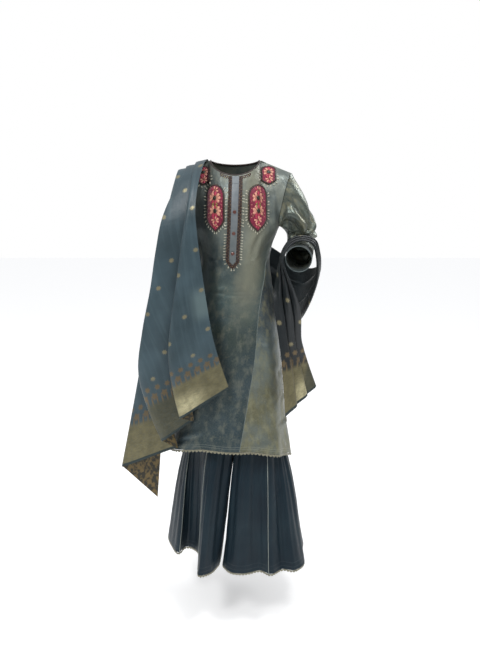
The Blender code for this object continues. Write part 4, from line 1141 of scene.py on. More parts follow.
def border_of(weave, from_hem):
    """The gold border of a dupatta's end: the solid gold, and the row of flowers on stems above it."""
    solid = weave.band(from_hem, -0.01, 0.118, 0.010)
    first = weave.buds(0.034, 2.0, 0.0125, shift=(0.006, 0.140), petals=5, depth=0.18)
    second = weave.buds(0.034, 2.0, 0.0100, shift=(0.023, 0.166), petals=6, depth=0.15)
    first = weave.ramp(first, (0.0, 0.0), (0.45, 1.0))
    second = weave.ramp(second, (0.0, 0.0), (0.45, 1.0))
    near = weave.band(from_hem, 0.10, 0.20, 0.004)
    flowers = weave.times(weave.most(first, second), near)
    step = weave.maths("PINGPONG", weave.split()[0], 0.0085)
    stems = weave.band(step, -0.001, 0.0026, 0.0008)
    stems = weave.times(stems, weave.band(from_hem, 0.11, 0.136, 0.006))
    return solid, weave.most(flowers, stems)


def make_dupatta_face():
    """Soft teal silk with gold buds, and a broad gold border at each end. Painted shade darkens the arm fall,
    a painted highlight lies above a crease, and the border's gold is painted bright on one strip and shaded
    on the strips beyond it.
    """
    weave = Weave("dupatta silk", roughness=0.38, metallic=0.22, sheen=0.10, anisotropic=0.4)
    across, from_hem = weave.split()[:2]
    cloudy = weave.noise(6.0, 3.0)
    streaks = weave.noise(70.0, 2.0, vector=weave.moved(scale=(1.0, 0.06, 1.0)))
    ground = weave.mix(weave.ramp(cloudy, (0.34, 0.0), (0.68, 1.0)), linear(42, 58, 64), linear(62, 80, 88))
    ground = weave.mix(weave.ramp(streaks, (0.46, 0.0), (0.78, 0.35)), ground, linear(82, 102, 108))
    # Painted highlight: a pale patch of sheen just above the crease in the front fall.
    pale = weave.times(weave.band(across, -0.01, 0.040, 0.022), weave.band(from_hem, 0.318, 0.420, 0.030))
    ground = weave.mix(weave.times(pale, 0.55), ground, linear(104, 122, 122))
    # Painted shade: the cloth darkens towards the wearer's left, over the arm fall.
    left_side = weave.rise(weave.split(weave.object_place)[0], 0.02, 0.12)
    ground = weave.mix(left_side, ground, linear(20, 27, 30))
    buds = weave.buds(0.130, 0.150, 0.0090, shift=(0.075, 0.045), petals=8, depth=0.14)
    buds = weave.ramp(buds, (0.0, 0.0), (0.45, 1.0))
    buds = weave.times(buds, weave.band(from_hem, 0.19, 5.0, 0.01))
    gold = weave.mix(weave.noise(40.0, 3.0), linear(84, 82, 62), linear(140, 132, 98))
    ground = weave.mix(weave.times(buds, 0.8), ground, linear(150, 142, 112))
    solid, flowers = border_of(weave, from_hem)
    worn = weave.noise(300.0, 2.0, vector=weave.moved(scale=(0.3, 1.0, 1.0)))
    solid = weave.times(solid, weave.ramp(worn, (0.3, 0.70), (0.6, 1.0)))
    ground = weave.mix(weave.times(flowers, 0.8), ground, linear(118, 102, 76))
    # Painted highlight: brighter gold on one strip near the front hem.
    gold_highlight_mask = weave.times(weave.band(across, 0.095, 0.180, 0.038), weave.band(from_hem, 0.000, 0.062, 0.040))
    gold_highlight_mask = weave.times(gold_highlight_mask, weave.ramp(weave.noise(55.0, 3.0), (0.30, 0.55), (0.60, 1.0)))
    gold = weave.mix(gold_highlight_mask, gold, linear(206, 198, 158))
    # Painted shade: the border's gold darkened on the strips beyond it.
    gold_shade_mask = weave.band(across, 0.185, 0.400, 0.010)
    gold = weave.mix(weave.times(gold_shade_mask, 0.65), gold, linear(58, 64, 60))
    ground = weave.mix(solid, ground, gold)
    edge = weave.band(from_hem, -0.01, 0.0085, 0.0006)
    ground = weave.mix(edge, ground, linear(52, 62, 62))
    weave.raise_by(weave.threads(FINE_PITCH), 0.00008)
    motifs = weave.most(buds, flowers)
    weave.raise_by(weave.most(weave.times(solid, 0.5), motifs), 0.0002)
    weave.raise_by(weave.noise(50.0, 3.0), 0.0006)
    crush = weave.noise(130.0, 3.0, vector=weave.moved(scale=(0.5, 1.0, 1.0)))
    weave.raise_by(weave.times(crush, weave.band(from_hem, -0.01, 0.08, 0.03)), 0.0012)
    metal = weave.times(weave.most(solid, motifs), 0.60)
    return weave.done(ground, metallic=metal)


def make_dupatta_reverse():
    """The silk's other side: the gold threads float in loose patches over dark teal."""
    weave = Weave("dupatta reverse", roughness=0.50, metallic=0.15, sheen=0.3)
    from_hem = weave.split()[1]
    ground = weave.mix(weave.noise(8.0, 2.0), linear(26, 36, 40), linear(40, 52, 56))
    patches = weave.ramp(weave.noise(70.0, 3.0), (0.44, 0.0), (0.58, 1.0))
    gold = weave.mix(patches, linear(44, 42, 30), linear(110, 92, 54))
    ground = weave.mix(weave.band(from_hem, -0.01, 0.20, 0.012), ground, gold)
    weave.raise_by(weave.threads(FINE_PITCH), 0.00010)
    weave.raise_by(weave.noise(90.0, 3.0), 0.0007)
    return weave.done(ground)


def make_thread(name, colour, lighter, stitch=0.0011, turn=0.0, sheen=0.3):
    """Satin-stitched thread: close rows that catch the light."""
    weave = Weave(name, roughness=0.45, sheen=sheen, on_object=True)
    rows = weave.split(weave.moved(turn=turn))
    ridges = weave.maths("SINE", weave.times(rows[0], 2 * math.pi / stitch))
    uneven = weave.noise(260.0, 3.0)
    ground = weave.mix(weave.ramp(uneven, (0.3, 0.0), (0.7, 1.0)), colour, lighter)
    weave.raise_by(ridges, 0.00016)
    weave.raise_by(weave.noise(800.0, 2.0), 0.00020)
    return weave.done(ground)


def make_bead_finish(name, colour, roughness=0.2, metallic=0.0, coat=0.3):
    weave = Weave(name, roughness=roughness, metallic=metallic, on_object=True)
    weave.shader.inputs["Coat Weight"].default_value = coat
    spread = weave.noise(500.0, 1.0)
    darker = tuple(0.7 * value for value in colour)
    weave.raise_by(weave.noise(1400.0, 1.0), 0.00005)
    return weave.done(weave.mix(spread, darker, colour))


def make_lace_finish(name, colour, lighter):
    """Crocheted cotton with a glint: small loops side by side."""
    weave = Weave(name, roughness=0.65, sheen=0.4, on_object=True)
    loops = weave.cells(620.0)
    ground = weave.mix(weave.ramp(loops, (0.15, 0.0), (0.75, 1.0)), lighter, colour)
    weave.raise_by(weave.ramp(loops, (0.1, 1.0), (0.8, 0.0)), 0.0004)
    return weave.done(ground)


# Creases, drawn on each cloth's own plan as (width, depth, points). Below zero is a trough.

# On the kurta's front: place across and height above the floor
FRONT_CREASES = (
    (0.0028, -0.0024, [(-0.105, 1.145), (-0.050, 1.138), (-0.010, 1.135), (0.070, 1.131)]),
    (0.0070, 0.0008, [(-0.100, 1.154), (-0.040, 1.148), (0.050, 1.143)]),
    (0.0030, -0.0012, [(-0.095, 1.118), (-0.060, 1.117), (-0.025, 1.111)]),
    (0.0050, -0.0014, [(0.000, 1.106), (0.035, 1.112), (0.070, 1.108)]),
    (0.0080, -0.0030, [(0.112, 1.372), (0.090, 1.338), (0.066, 1.296), (0.050, 1.250)]),
    (0.0090, -0.0034, [(0.108, 1.440), (0.104, 1.390), (0.112, 1.345)]),
    (0.0070, 0.0026, [(0.120, 1.430), (0.120, 1.380), (0.125, 1.350)]),
    (0.0060, -0.0022, [(0.116, 1.300), (0.092, 1.275), (0.078, 1.236)]),
    (0.0055, -0.0020, [(0.100, 1.262), (0.070, 1.240), (0.040, 1.232)]),
    (0.0055, -0.0018, [(-0.096, 1.262), (-0.070, 1.246), (-0.046, 1.240)]),
    (0.0085, -0.0028, [(-0.120, 1.360), (-0.100, 1.310), (-0.092, 1.260)]),
    (0.0045, -0.0016, [(-0.026, 0.802), (0.010, 0.800), (0.042, 0.802)]),
    (0.0140, -0.0030, [(0.048, 1.080), (0.036, 0.960), (0.026, 0.820), (0.014, 0.700)]),
    (0.0160, 0.0026, [(0.010, 1.060), (0.000, 0.930), (-0.012, 0.800), (-0.022, 0.670)]),
    (0.0150, -0.0026, [(-0.050, 1.070), (-0.062, 0.930), (-0.080, 0.790), (-0.096, 0.660)]),
    (0.0140, 0.0022, [(-0.090, 1.020), (-0.110, 0.880), (-0.130, 0.740), (-0.142, 0.640)]),
    (0.0060, 0.0020, [(-0.200, 0.662), (-0.160, 0.676), (-0.112, 0.694)]),
    (0.0050, -0.0018, [(-0.196, 0.648), (-0.150, 0.664), (-0.104, 0.680)]),
    (0.0045, -0.0008, [(-0.060, 1.068), (-0.020, 1.060), (0.030, 1.066)]),
    (0.0060, -0.0014, [(-0.080, 0.940), (-0.040, 0.930), (0.000, 0.936)]),
)
SIDE_CREASES = (
    (0.0060, -0.0032, [(0.182, 0.886), (0.160, 0.868), (0.140, 0.872)]),
    (0.0055, 0.0028, [(0.184, 0.868), (0.162, 0.852), (0.146, 0.854)]),
    (0.0050, -0.0030, [(0.188, 0.846), (0.168, 0.836), (0.150, 0.828)]),
    (0.0050, -0.0028, [(0.186, 0.800), (0.164, 0.790), (0.148, 0.776)]),
    (0.0050, 0.0024, [(0.190, 0.782), (0.166, 0.772), (0.152, 0.762)]),
    (0.0055, -0.0030, [(0.190, 0.716), (0.166, 0.700), (0.140, 0.706)]),
    (0.0060, 0.0026, [(0.192, 0.698), (0.170, 0.686), (0.150, 0.688)]),
    (0.0070, 0.0030, [(0.068, 0.976), (0.084, 0.984), (0.104, 0.976)]),
    (0.0060, -0.0026, [(0.070, 0.964), (0.088, 0.966), (0.110, 0.958)]),
    (0.0120, 0.0030, [(0.112, 1.040), (0.128, 0.900), (0.142, 0.740), (0.150, 0.610)]),
    (0.0120, -0.0028, [(0.088, 1.000), (0.092, 0.860), (0.088, 0.720), (0.084, 0.620)]),
    (0.0060, 0.0022, [(0.060, 0.640), (0.084, 0.652), (0.110, 0.646)]),
    (0.0060, 0.0022, [(0.108, 1.150), (0.128, 1.130), (0.134, 1.090)]),
)
BACK_CREASES = (
    (0.0070, -0.0034, [(-0.110, 1.148), (-0.050, 1.136), (0.020, 1.138), (0.080, 1.150)]),
    (0.0070, 0.0026, [(-0.100, 1.166), (-0.030, 1.156), (0.060, 1.164)]),
    (0.0060, -0.0022, [(-0.080, 1.112), (-0.010, 1.104), (0.060, 1.112)]),
    (0.0100, -0.0030, [(0.120, 1.400), (0.090, 1.340), (0.060, 1.270)]),
    (0.0100, -0.0028, [(-0.120, 1.400), (-0.096, 1.340), (-0.070, 1.270)]),
    (0.0080, 0.0024, [(0.100, 1.420), (0.072, 1.350), (0.048, 1.290)]),
    (0.0150, 0.0030, [(-0.040, 1.080), (-0.050, 0.930), (-0.060, 0.780), (-0.070, 0.640)]),
    (0.0140, -0.0030, [(0.030, 1.070), (0.034, 0.940), (0.046, 0.800), (0.050, 0.640)]),
    (0.0120, -0.0026, [(0.110, 1.060), (0.130, 0.900), (0.142, 0.760), (0.150, 0.620)]),
    (0.0120, 0.0026, [(-0.120, 1.060), (-0.140, 0.900), (-0.150, 0.760), (-0.160, 0.640)]),
    (0.0060, -0.0020, [(0.000, 0.840), (0.040, 0.832), (0.090, 0.842)]),
)

# On a sleeve: turn round it and share along it, both as metres of cloth
AROUND = 0.30
ALONG = 0.42
LEFT_SLEEVE_CREASES = (
    (0.011, -0.0085, [(0.33, 0.08), (0.27, 0.22), (0.23, 0.38), (0.24, 0.52), (0.29, 0.60)]),
    (0.010, 0.0050, [(0.39, 0.12), (0.34, 0.28), (0.31, 0.44)]),
    (0.010, 0.0055, [(0.21, 0.12), (0.17, 0.28), (0.15, 0.42)]),
    (0.009, -0.0070, [(0.99, 0.36), (0.06, 0.44), (0.13, 0.53), (0.21, 0.60)]),
    (0.009, 0.0055, [(0.98, 0.44), (0.06, 0.52), (0.15, 0.61), (0.24, 0.67)]),
    (0.008, -0.0070, [(0.97, 0.53), (0.05, 0.60), (0.14, 0.68), (0.24, 0.74)]),
    (0.008, 0.0045, [(0.98, 0.62), (0.08, 0.69), (0.18, 0.76)]),
    (0.007, -0.0050, [(0.98, 0.70), (0.08, 0.77), (0.17, 0.83)]),
    (0.008, -0.0050, [(0.42, 0.56), (0.36, 0.64), (0.28, 0.70)]),
    (0.007, 0.0035, [(0.46, 0.62), (0.40, 0.70), (0.32, 0.76)]),
    (0.012, -0.0050, [(0.62, 0.16), (0.66, 0.34), (0.74, 0.50)]),
    (0.010, 0.0045, [(0.72, 0.20), (0.78, 0.36), (0.86, 0.50)]),
    (0.009, -0.0055, [(0.60, 0.58), (0.72, 0.62), (0.86, 0.62)]),
    (0.008, 0.0040, [(0.62, 0.66), (0.74, 0.70), (0.88, 0.68)]),
    (0.008, -0.0040, [(0.60, 0.76), (0.74, 0.80), (0.88, 0.80)]),
    (0.006, -0.0025, [(0.02, 0.90), (0.12, 0.93), (0.22, 0.91)]),
)
RIGHT_SLEEVE_CREASES = (
    (0.012, -0.0055, [(0.30, 0.06), (0.26, 0.20), (0.20, 0.36)]),
    (0.011, 0.0045, [(0.20, 0.10), (0.14, 0.24), (0.10, 0.38)]),
    (0.010, -0.0040, [(0.04, 0.40), (0.14, 0.46), (0.26, 0.48)]),
    (0.010, -0.0040, [(0.50, 0.42), (0.62, 0.48), (0.76, 0.50)]),
    (0.009, 0.0035, [(0.56, 0.52), (0.70, 0.57), (0.84, 0.56)]),
    (0.012, -0.0045, [(0.66, 0.10), (0.72, 0.24), (0.80, 0.34)]),
    (0.008, -0.0030, [(0.10, 0.66), (0.22, 0.70), (0.34, 0.69)]),
    (0.008, -0.0030, [(0.60, 0.74), (0.74, 0.78), (0.88, 0.76)]),
)

# On a leg: turn round it (a whole turn is about a metre) and height above the floor
LEFT_LEG_CREASES = (
    (0.0100, -0.0050, [(0.030, 0.700), (0.036, 0.480), (0.040, 0.230)]),
    (0.0090, 0.0040, [(0.066, 0.640), (0.070, 0.440), (0.074, 0.230)]),
    (0.0110, -0.0045, [(0.120, 0.700), (0.128, 0.450), (0.134, 0.240)]),
    (0.0090, 0.0035, [(0.170, 0.620), (0.176, 0.420), (0.182, 0.230)]),
    (0.0050, -0.0022, [(0.225, 0.450), (0.262, 0.458), (0.300, 0.480)]),
    (0.0100, -0.0045, [(0.262, 0.680), (0.272, 0.450), (0.278, 0.230)]),
    (0.0090, 0.0040, [(0.318, 0.640), (0.322, 0.420), (0.326, 0.230)]),
    (0.0100, -0.0045, [(0.360, 0.660), (0.366, 0.420), (0.372, 0.230)]),
    (0.0110, 0.0045, [(0.460, 0.660), (0.462, 0.430), (0.466, 0.230)]),
    (0.0100, -0.0045, [(0.505, 0.620), (0.510, 0.420), (0.516, 0.230)]),
    (0.0100, 0.0040, [(0.570, 0.650), (0.574, 0.430), (0.578, 0.230)]),
    (0.0100, -0.0045, [(0.640, 0.650), (0.646, 0.430), (0.650, 0.230)]),
    (0.0100, 0.0040, [(0.706, 0.620), (0.712, 0.410), (0.716, 0.230)]),
    (0.0100, -0.0040, [(0.850, 0.560), (0.850, 0.400), (0.850, 0.230)]),
    (0.0100, 0.0040, [(0.920, 0.560), (0.922, 0.400), (0.924, 0.230)]),
)
RIGHT_LEG_CREASES = (
    (0.0100, -0.0050, [(0.028, 0.700), (0.034, 0.470), (0.040, 0.230)]),
    (0.0090, 0.0040, [(0.070, 0.640), (0.078, 0.430), (0.086, 0.230)]),
    (0.0090, -0.0045, [(0.112, 0.660), (0.118, 0.430), (0.122, 0.230)]),
    (0.0100, 0.0040, [(0.172, 0.640), (0.176, 0.430), (0.180, 0.240)]),
    (0.0110, -0.0055, [(0.236, 0.700), (0.244, 0.450), (0.250, 0.240)]),
    (0.0090, 0.0035, [(0.300, 0.640), (0.306, 0.420), (0.310, 0.240)]),
    (0.0100, -0.0045, [(0.390, 0.660), (0.394, 0.430), (0.398, 0.240)]),
    (0.0100, 0.0040, [(0.446, 0.620), (0.450, 0.420), (0.454, 0.240)]),
    (0.0100, -0.0045, [(0.512, 0.650), (0.516, 0.430), (0.520, 0.240)]),
    (0.0100, 0.0040, [(0.600, 0.640), (0.606, 0.420), (0.610, 0.240)]),
    (0.0100, -0.0045, [(0.668, 0.650), (0.672, 0.430), (0.676, 0.240)]),
    (0.0100, 0.0040, [(0.722, 0.600), (0.728, 0.420), (0.732, 0.240)]),
    (0.0100, -0.0040, [(0.850, 0.560), (0.850, 0.400), (0.850, 0.240)]),
)

# On the dupatta: metres across from its inner edge, and metres from its front hem
DUPATTA_CREASES = (
    (0.0045, -0.0022, [(0.000, 0.300), (0.036, 0.318), (0.064, 0.340)]),
    (0.0045, 0.0020, [(0.000, 0.290), (0.036, 0.308), (0.064, 0.330)]),
    (0.0040, -0.0016, [(0.000, 0.280), (0.034, 0.298), (0.060, 0.320)]),
    (0.0050, 0.0020, [(0.074, 0.012), (0.078, 0.040), (0.064, 0.064), (0.036, 0.070)]),
    (0.0045, -0.0022, [(0.100, 0.040), (0.080, 0.050), (0.048, 0.052), (0.020, 0.060)]),
    (0.0045, -0.0020, [(0.108, 0.022), (0.086, 0.030), (0.054, 0.034), (0.028, 0.040)]),
    (0.0045, 0.0020, [(0.104, 0.032), (0.076, 0.041), (0.050, 0.044)]),
    (0.0100, 0.0016, [(0.046, 0.140), (0.044, 0.320), (0.040, 0.500)]),
)

LEGS_APART = 0.0030  # half of what is left between the two legs' inner panels
LARGEST_SWAY = 0.014

# How many finer rows and columns each step of the solids' grids gets
KURTA_FINER = (12, 5)
BENT_SLEEVE_FINER = (8, 6)
PLAIN_SLEEVE_FINER = (12, 6)
LEG_FINER = (10, 4)
DUPATTA_FINER = (6, 4)

INNER_PANEL_GAP = 0.0024
SLEEVE_CREASE_STRENGTH = 1.5


def creased(middle, plan, creases, seed, evenness=0.0008):
    """The middle surface pushed along its normals by its creases, and by a faint unevenness."""
    normals = grid_normals(middle)
    push = crease_field(plan, creases) + ripple(middle, 0.085, evenness * 1.6, seed)
    push += ripple(middle, 0.030, evenness, seed + 5)
    moved = middle + normals * push[..., None]
    return moved, grid_normals(moved)


def make_kurta():
    shares = main_shares()
    skirt = [level for level in FRONT_LEVELS if level >= 1]
    side_shares = np.linspace(0, 1, SIDE_COLUMNS + 1)
    brocade = make_kurta_cloth()
    gold = make_gold_brocade()
    parts = (
        ("kurta_front", FRONT_LEVELS, front_right_edge, front_left_edge, shares, brocade, FRONT_CREASES),
        ("kurta_side_panel_right", skirt, right_side, front_right_edge, side_shares, brocade, FRONT_CREASES),
        ("kurta_side_panel_left", skirt, front_left_edge, left_side, side_shares, gold, SIDE_CREASES),
        ("kurta_back", FRONT_LEVELS, right_side, left_side, shares, brocade, BACK_CREASES),
    )
    made = {}
    for name, levels, start, end, columns, finish, creases in parts:
        behind = name == "kurta_back"
        coarse = kurta_grid(behind, levels, start, end, columns)
        coarse = trim(coarse, SEAM_GAP, first_row=levels is FRONT_LEVELS)
        middle = finer(coarse[:, ::-1] if behind else coarse, *KURTA_FINER)
        middle, normals = creased(middle, middle[..., [0, 2]], creases, 1)
        cut = centred_cut(middle)
        piece = shell("cloth_" + name, middle, normals, KURTA_CLOTH, finish, cut)
        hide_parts(name)
        made[name] = (piece, middle, normals)
    return made


def make_sleeves():
    brocade = make_sleeve_cloth()
    for name, sections, rows, bent, side, creases in (
        ("sleeve_left", LEFT_SLEEVE, SLEEVE_ROWS, True, 1, LEFT_SLEEVE_CREASES),
        ("sleeve_right", RIGHT_SLEEVE, PLAIN_SLEEVE_ROWS, False, -1, RIGHT_SLEEVE_CREASES),
    ):
        turns = np.arange(SLEEVE_COLUMNS) / SLEEVE_COLUMNS
        first = np.array([hole_ring_point(turn) + np.array([ARMHOLE_GAP, 0.0, 0.0]) for turn in turns])
        grid = [first]
        grid += [np.array([sleeve_point(sections, turn, share, bent) for turn in turns]) for share in rows]
        middle = finer(np.array(grid), *(BENT_SLEEVE_FINER if bent else PLAIN_SLEEVE_FINER), closed=True)
        places = np.array([0.0, *rows])
        share = np.interp(np.linspace(0, len(places) - 1, len(middle)), np.arange(len(places)), places)
        turn = np.arange(middle.shape[1]) / middle.shape[1]
        normals = grid_normals(middle, closed=True)
        push = np.zeros(middle.shape[:2])
        for lap in (-1, 0, 1):
            plan = np.stack(np.meshgrid((turn + lap) * AROUND, share * ALONG), axis=-1)
            drawn = []
            for width, depth, points in creases:
                drawn.append((width, depth, [unrolled(point, points[0]) for point in points]))
            field = crease_field(plan, drawn)
            push = np.where(np.abs(field) > np.abs(push), field, push)
        fade = np.clip(share / 0.10, 0, 1)[:, None]
        push = SLEEVE_CREASE_STRENGTH * push * fade + ripple(middle, 0.05, 0.0012, 3) * fade
        middle = middle + normals * push[..., None]
        normals = grid_normals(middle, closed=True)
        cut = centred_cut(middle, origin_column=0)
        if side < 0:
            middle = mirrored(middle)[:, ::-1]
            normals = mirrored(normals)[:, ::-1]
            cut = cut[:, ::-1]
        piece = shell("cloth_" + name, middle, normals, KURTA_CLOTH, brocade, cut, closed=True)
        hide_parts(name)


def unrolled(point, start):
    """A sleeve crease's point on the flat plan, carried past a whole turn where it wraps round."""
    turn = point[0]
    while turn - start[0] > 0.5:
        turn -= 1
    while start[0] - turn > 0.5:
        turn += 1
    return (turn * AROUND, point[1] * ALONG)


def make_sharara():
    satin = make_sharara_cloth()
    seams_made = {}
    for side, which, creases in ((1, "left", LEFT_LEG_CREASES), (-1, "right", RIGHT_LEG_CREASES)):
        seams = [0.0, *LEG_PANELS[which]]
        parts = [
            (name, start, end, int(columns), LEG_LEVELS)
            for name, start, end, columns in zip(LEG_PANEL_NAMES, seams, seams[1:], LEG_PANELS["columns"])
        ]
        parts.append(("inner", BACK_CENTRE_TURN, 1.0, INNER_COLUMNS, LEG_LEVELS[CROTCH_LEVEL:]))
        for name, start, end, columns, levels in parts:
            coarse = leg_grid(side, levels, start, end, columns)
            coarse = trim(coarse, INNER_PANEL_GAP if name == "inner" else SEAM_GAP)
            middle = finer(coarse, *LEG_FINER)
            if name == "inner":
                middle = drawn_together(middle, np.linspace(0, 1, middle.shape[1]))
            turns = np.linspace(start, end, middle.shape[1])
            plan = np.stack([np.broadcast_to(turns, middle.shape[:2]), middle[..., 2]], axis=-1)
            if side < 0:
                middle = middle[:, ::-1]
                plan = plan[:, ::-1]
            middle, normals = creased(middle, plan, creases, 9, evenness=0.0006)
            cut = centred_cut(middle, origin_column=0)
            node = f"sharara_{which}_{name}"
            piece = shell("cloth_" + node, middle, normals, SHARARA_CLOTH, satin, cut)
            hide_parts(node)
            edge = -1 if side > 0 else 0
            seams_made[which, name] = (middle[:, edge], normals[:, edge])
    refinish("sharara_waistband", make_band_cloth())
    return seams_made


def refinish(node, finish):
    """A solid that keeps its own shape gets a better finish."""
    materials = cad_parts[node].data.materials
    materials.clear()
    materials.append(finish)


def drawn_together(middle, share):
    """The two legs' inner panels hang towards each other, so that no light shows between them."""
    weight = np.sin(np.pi * np.clip(share, 0, 1)) ** 0.8
    reach = np.maximum(np.abs(middle[..., 0]) - LEGS_APART, 0)
    moved = middle.copy()
    moved[..., 0] -= np.sign(middle[..., 0]) * np.minimum(reach, LARGEST_SWAY) * weight
    return moved


def make_band_cloth():
    """The waistband's satin, gathered over its elastic."""
    weave = Weave("waistband satin", roughness=0.45, sheen=0.3, on_object=True)
    ground = weave.mix(weave.noise(30.0, 2.0), linear(38, 54, 64), linear(52, 68, 76))
    flat = weave.moved(scale=(1.0, 1.0, 0.1))
    weave.raise_by(weave.noise(160.0, 2.0, vector=flat), 0.0012)
    return weave.done(ground)


def make_dupatta():
    middle = finer(dupatta_grid(), *DUPATTA_FINER)
    across = steps_between(middle, 1)
    down = steps_between(middle, 0)
    plan = np.stack([across, down], axis=-1)
    normals = grid_normals(middle)
    push = crease_field(plan, DUPATTA_CREASES) + ripple(middle, 0.20, 0.0004, 12)
    middle = middle + normals * push[..., None]
    normals = grid_normals(middle)
    level = np.broadcast_to(down.mean(axis=1, keepdims=True), down.shape)
    cut = np.stack([across, np.minimum(level, level[-1:] - level)], axis=-1)
    face = make_dupatta_face()
    piece = shell("cloth_dupatta", middle, normals, DUPATTA_CLOTH, face, cut, lining=make_dupatta_reverse())
    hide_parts("dupatta_front_fall", "dupatta_behind", "dupatta_arm_fall")


# Trims

CORD_SIDES = 8
SEAM_CORD_RADIUS = 0.0011
SEAM_CORD_LIFT = 0.0009
SIDE_SEAM_LIFT = 0.0012
PATCH_CORD_RADIUS = 0.0027
PATCH_CORD_LIFT = 0.0014
NECK_CORD_RADIUS = 0.0026
NECK_CORD_LIFT = 0.0012


def round_cord(name, path, normals, radius, finish, closed=False, flatten=0.8):
    """A cord sewn down along a path, a little flattened: a thin trim, part of the cloth it is sewn to."""
    sides = CORD_SIDES
    count = len(path)
    if closed:
        ahead = along(np.roll(path, -1, axis=0) - np.roll(path, 1, axis=0))
    else:
        ahead = along(np.gradient(path, axis=0))
    outwards = along(normals - ahead * (normals * ahead).sum(axis=1, keepdims=True))
    sideways = np.cross(ahead, outwards)
    verts = []
    for point, out, across in zip(path, outwards, sideways):
        for j in range(sides):
            a = 2 * math.pi * j / sides
            verts.append(point + radius * (math.cos(a) * across + flatten * math.sin(a) * out) - DROP)
    faces = []
    rings = count if closed else count - 1
    for i in range(rings):
        n = (i + 1) % count
        for j in range(sides):
            k = (j + 1) % sides
            faces.append((i * sides + j, i * sides + k, n * sides + k, n * sides + j))
    if not closed:
        faces.append(tuple(range(sides))[::-1])
        faces.append(tuple((count - 1) * sides + j for j in range(sides)))
    return sewn_mesh(name, verts, faces, finish)


def sewn_mesh(name, verts, faces, finish):
    mesh = bpy.data.meshes.new(name)
    mesh.from_pydata([tuple(v) for v in verts], [], faces)
    builder = bmesh.new()
    builder.from_mesh(mesh)
    bmesh.ops.recalc_face_normals(builder, faces=builder.faces)
    builder.to_mesh(mesh)
    builder.free()
    mesh.shade_smooth()
    mesh.materials.append(finish)
    piece = bpy.data.objects.new(name, mesh)
    bpy.context.scene.collection.objects.link(piece)
    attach(piece, "root")
    return piece


def make_pipings(seams, cream):
    """The cream cords on the sharara's three outer seams of each leg."""
    for which in ("left", "right"):
        for panel, where in zip(LEG_PANEL_NAMES, PIPED_SEAMS):
            path, normals = seams[which, panel]
            name = f"sharara_{which}_piping_{where}"
            lifted = path + normals * (SHARARA_CLOTH / 2 + SEAM_CORD_LIFT)
            piece = round_cord("cord_" + name, lifted, normals, SEAM_CORD_RADIUS, cream)
            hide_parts(name)


# A lace edging: how many points a scallop has, how deep it is at its ends and how much deeper in its
# middle, the share of its depth that each row lies at, and how far each row stands out
SCALLOP_POINTS = 10
LACE_BAND = 0.0022
SCALLOP_DEPTH = 0.0062
LACE_ROWS = (0.05, 0.35, 0.62, 0.85, 1.0)
LACE_SWELL = (0.0, 0.4, 0.1, 0.7, 0.0)
LACE_RELIEF = 0.0007
LACE_DEPTH = 0.008
FRONT_SCALLOPS = 54
BACK_SCALLOPS = 50
LEG_SCALLOPS = 110


def read_along(lengths, field, at):
    """A field of points or directions, read at other places along its line."""
    return np.stack([np.interp(at, lengths, field[:, i]) for i in range(field.shape[1])], axis=1)


def scallops(name, path, normals, downs, pitch_count, finish, node):
    """A crocheted edging: a narrow band with a row of rounded scallops under it, each with a raised rim."""
    lengths = np.concatenate([[0.0], np.cumsum(np.linalg.norm(np.diff(path, axis=0), axis=1))])
    steps = pitch_count * SCALLOP_POINTS + 1
    at = np.linspace(0, lengths[-1], steps)
    line, out, down = (read_along(lengths, field, at) for field in (path, normals, downs))
    share = (np.arange(steps) % SCALLOP_POINTS) / SCALLOP_POINTS
    reach = LACE_BAND + SCALLOP_DEPTH * np.sin(np.pi * share) ** 0.7
    grid = np.stack([line + down * (LACE_GAP + level * reach[:, None]) for level in LACE_ROWS])
    swell = np.array(LACE_SWELL)[:, None] * LACE_RELIEF
    outward = along(out)
    shape = grid + outward[None] * (swell * (0.5 + np.abs(np.sin(np.pi * share * 3))))[..., None]
    deep = np.array(LACE_ROWS)[:, None] * LACE_DEPTH
    cut = np.stack(np.broadcast_arrays(at, deep), axis=-1)
    turned = np.broadcast_to(outward, shape.shape)
    shape, turned, cut = facing_out(shape, turned, cut, 0)
    piece = shell(name, shape, turned, LACE_THICKNESS, finish, cut)
    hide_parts(node)
    return piece


def facing_out(points, normals, cut, row):
    """A strip's grids, turned about where its faces would point inwards."""
    down = points[row + 1, 0] - points[row, 0]
    across = points[row, 1] - points[row, 0]
    if np.sum(np.cross(down, across) * normals[row, 0]) < 0:
        return points[:, ::-1], normals[:, ::-1], cut[:, ::-1]
    return points, normals, cut


def make_laces(kurta, finish):
    front_parts = ("kurta_side_panel_right", "kurta_front", "kurta_side_panel_left")
    sources = (
        ("hem_lace_front", front_parts, FRONT_SCALLOPS),
        ("hem_lace_back", ("kurta_back",), BACK_SCALLOPS),
    )
    for node, parts, count in sources:
        path = np.concatenate([kurta[part][1][-1] for part in parts])
        normals = np.concatenate([kurta[part][2][-1] for part in parts])
        downs = along(np.concatenate([kurta[part][1][-1] - kurta[part][1][-4] for part in parts]))
        scallops("edging_" + node, path, normals, downs, count, finish, node)


def make_leg_laces(finish):
    for side, which in ((1, "left"), (-1, "right")):
        turns = np.linspace(0, 1, 57)
        path = np.array([leg_point(side, turn, 1.0) for turn in turns])
        path = drawn_together(path, (turns - BACK_CENTRE_TURN) / (1 - BACK_CENTRE_TURN))
        normals = np.array([leg_normal(side, turn, 1.0) for turn in turns])
        aside = along(np.cross(np.gradient(path, axis=0), [0, 0, 1.0]))
        smooth = finer(np.stack([path, path + aside * STEP]), 1, 4)[0]
        fine_normals = read_along(turns, normals, np.linspace(0, 1, len(smooth)))
        downs = np.broadcast_to(np.array([0.0, 0.0, -1.0]), smooth.shape)
        node = f"sharara_{which}_hem_lace"
        scallops("edging_" + node, smooth, fine_normals, downs, LEG_SCALLOPS, finish, node)


# Embroidery

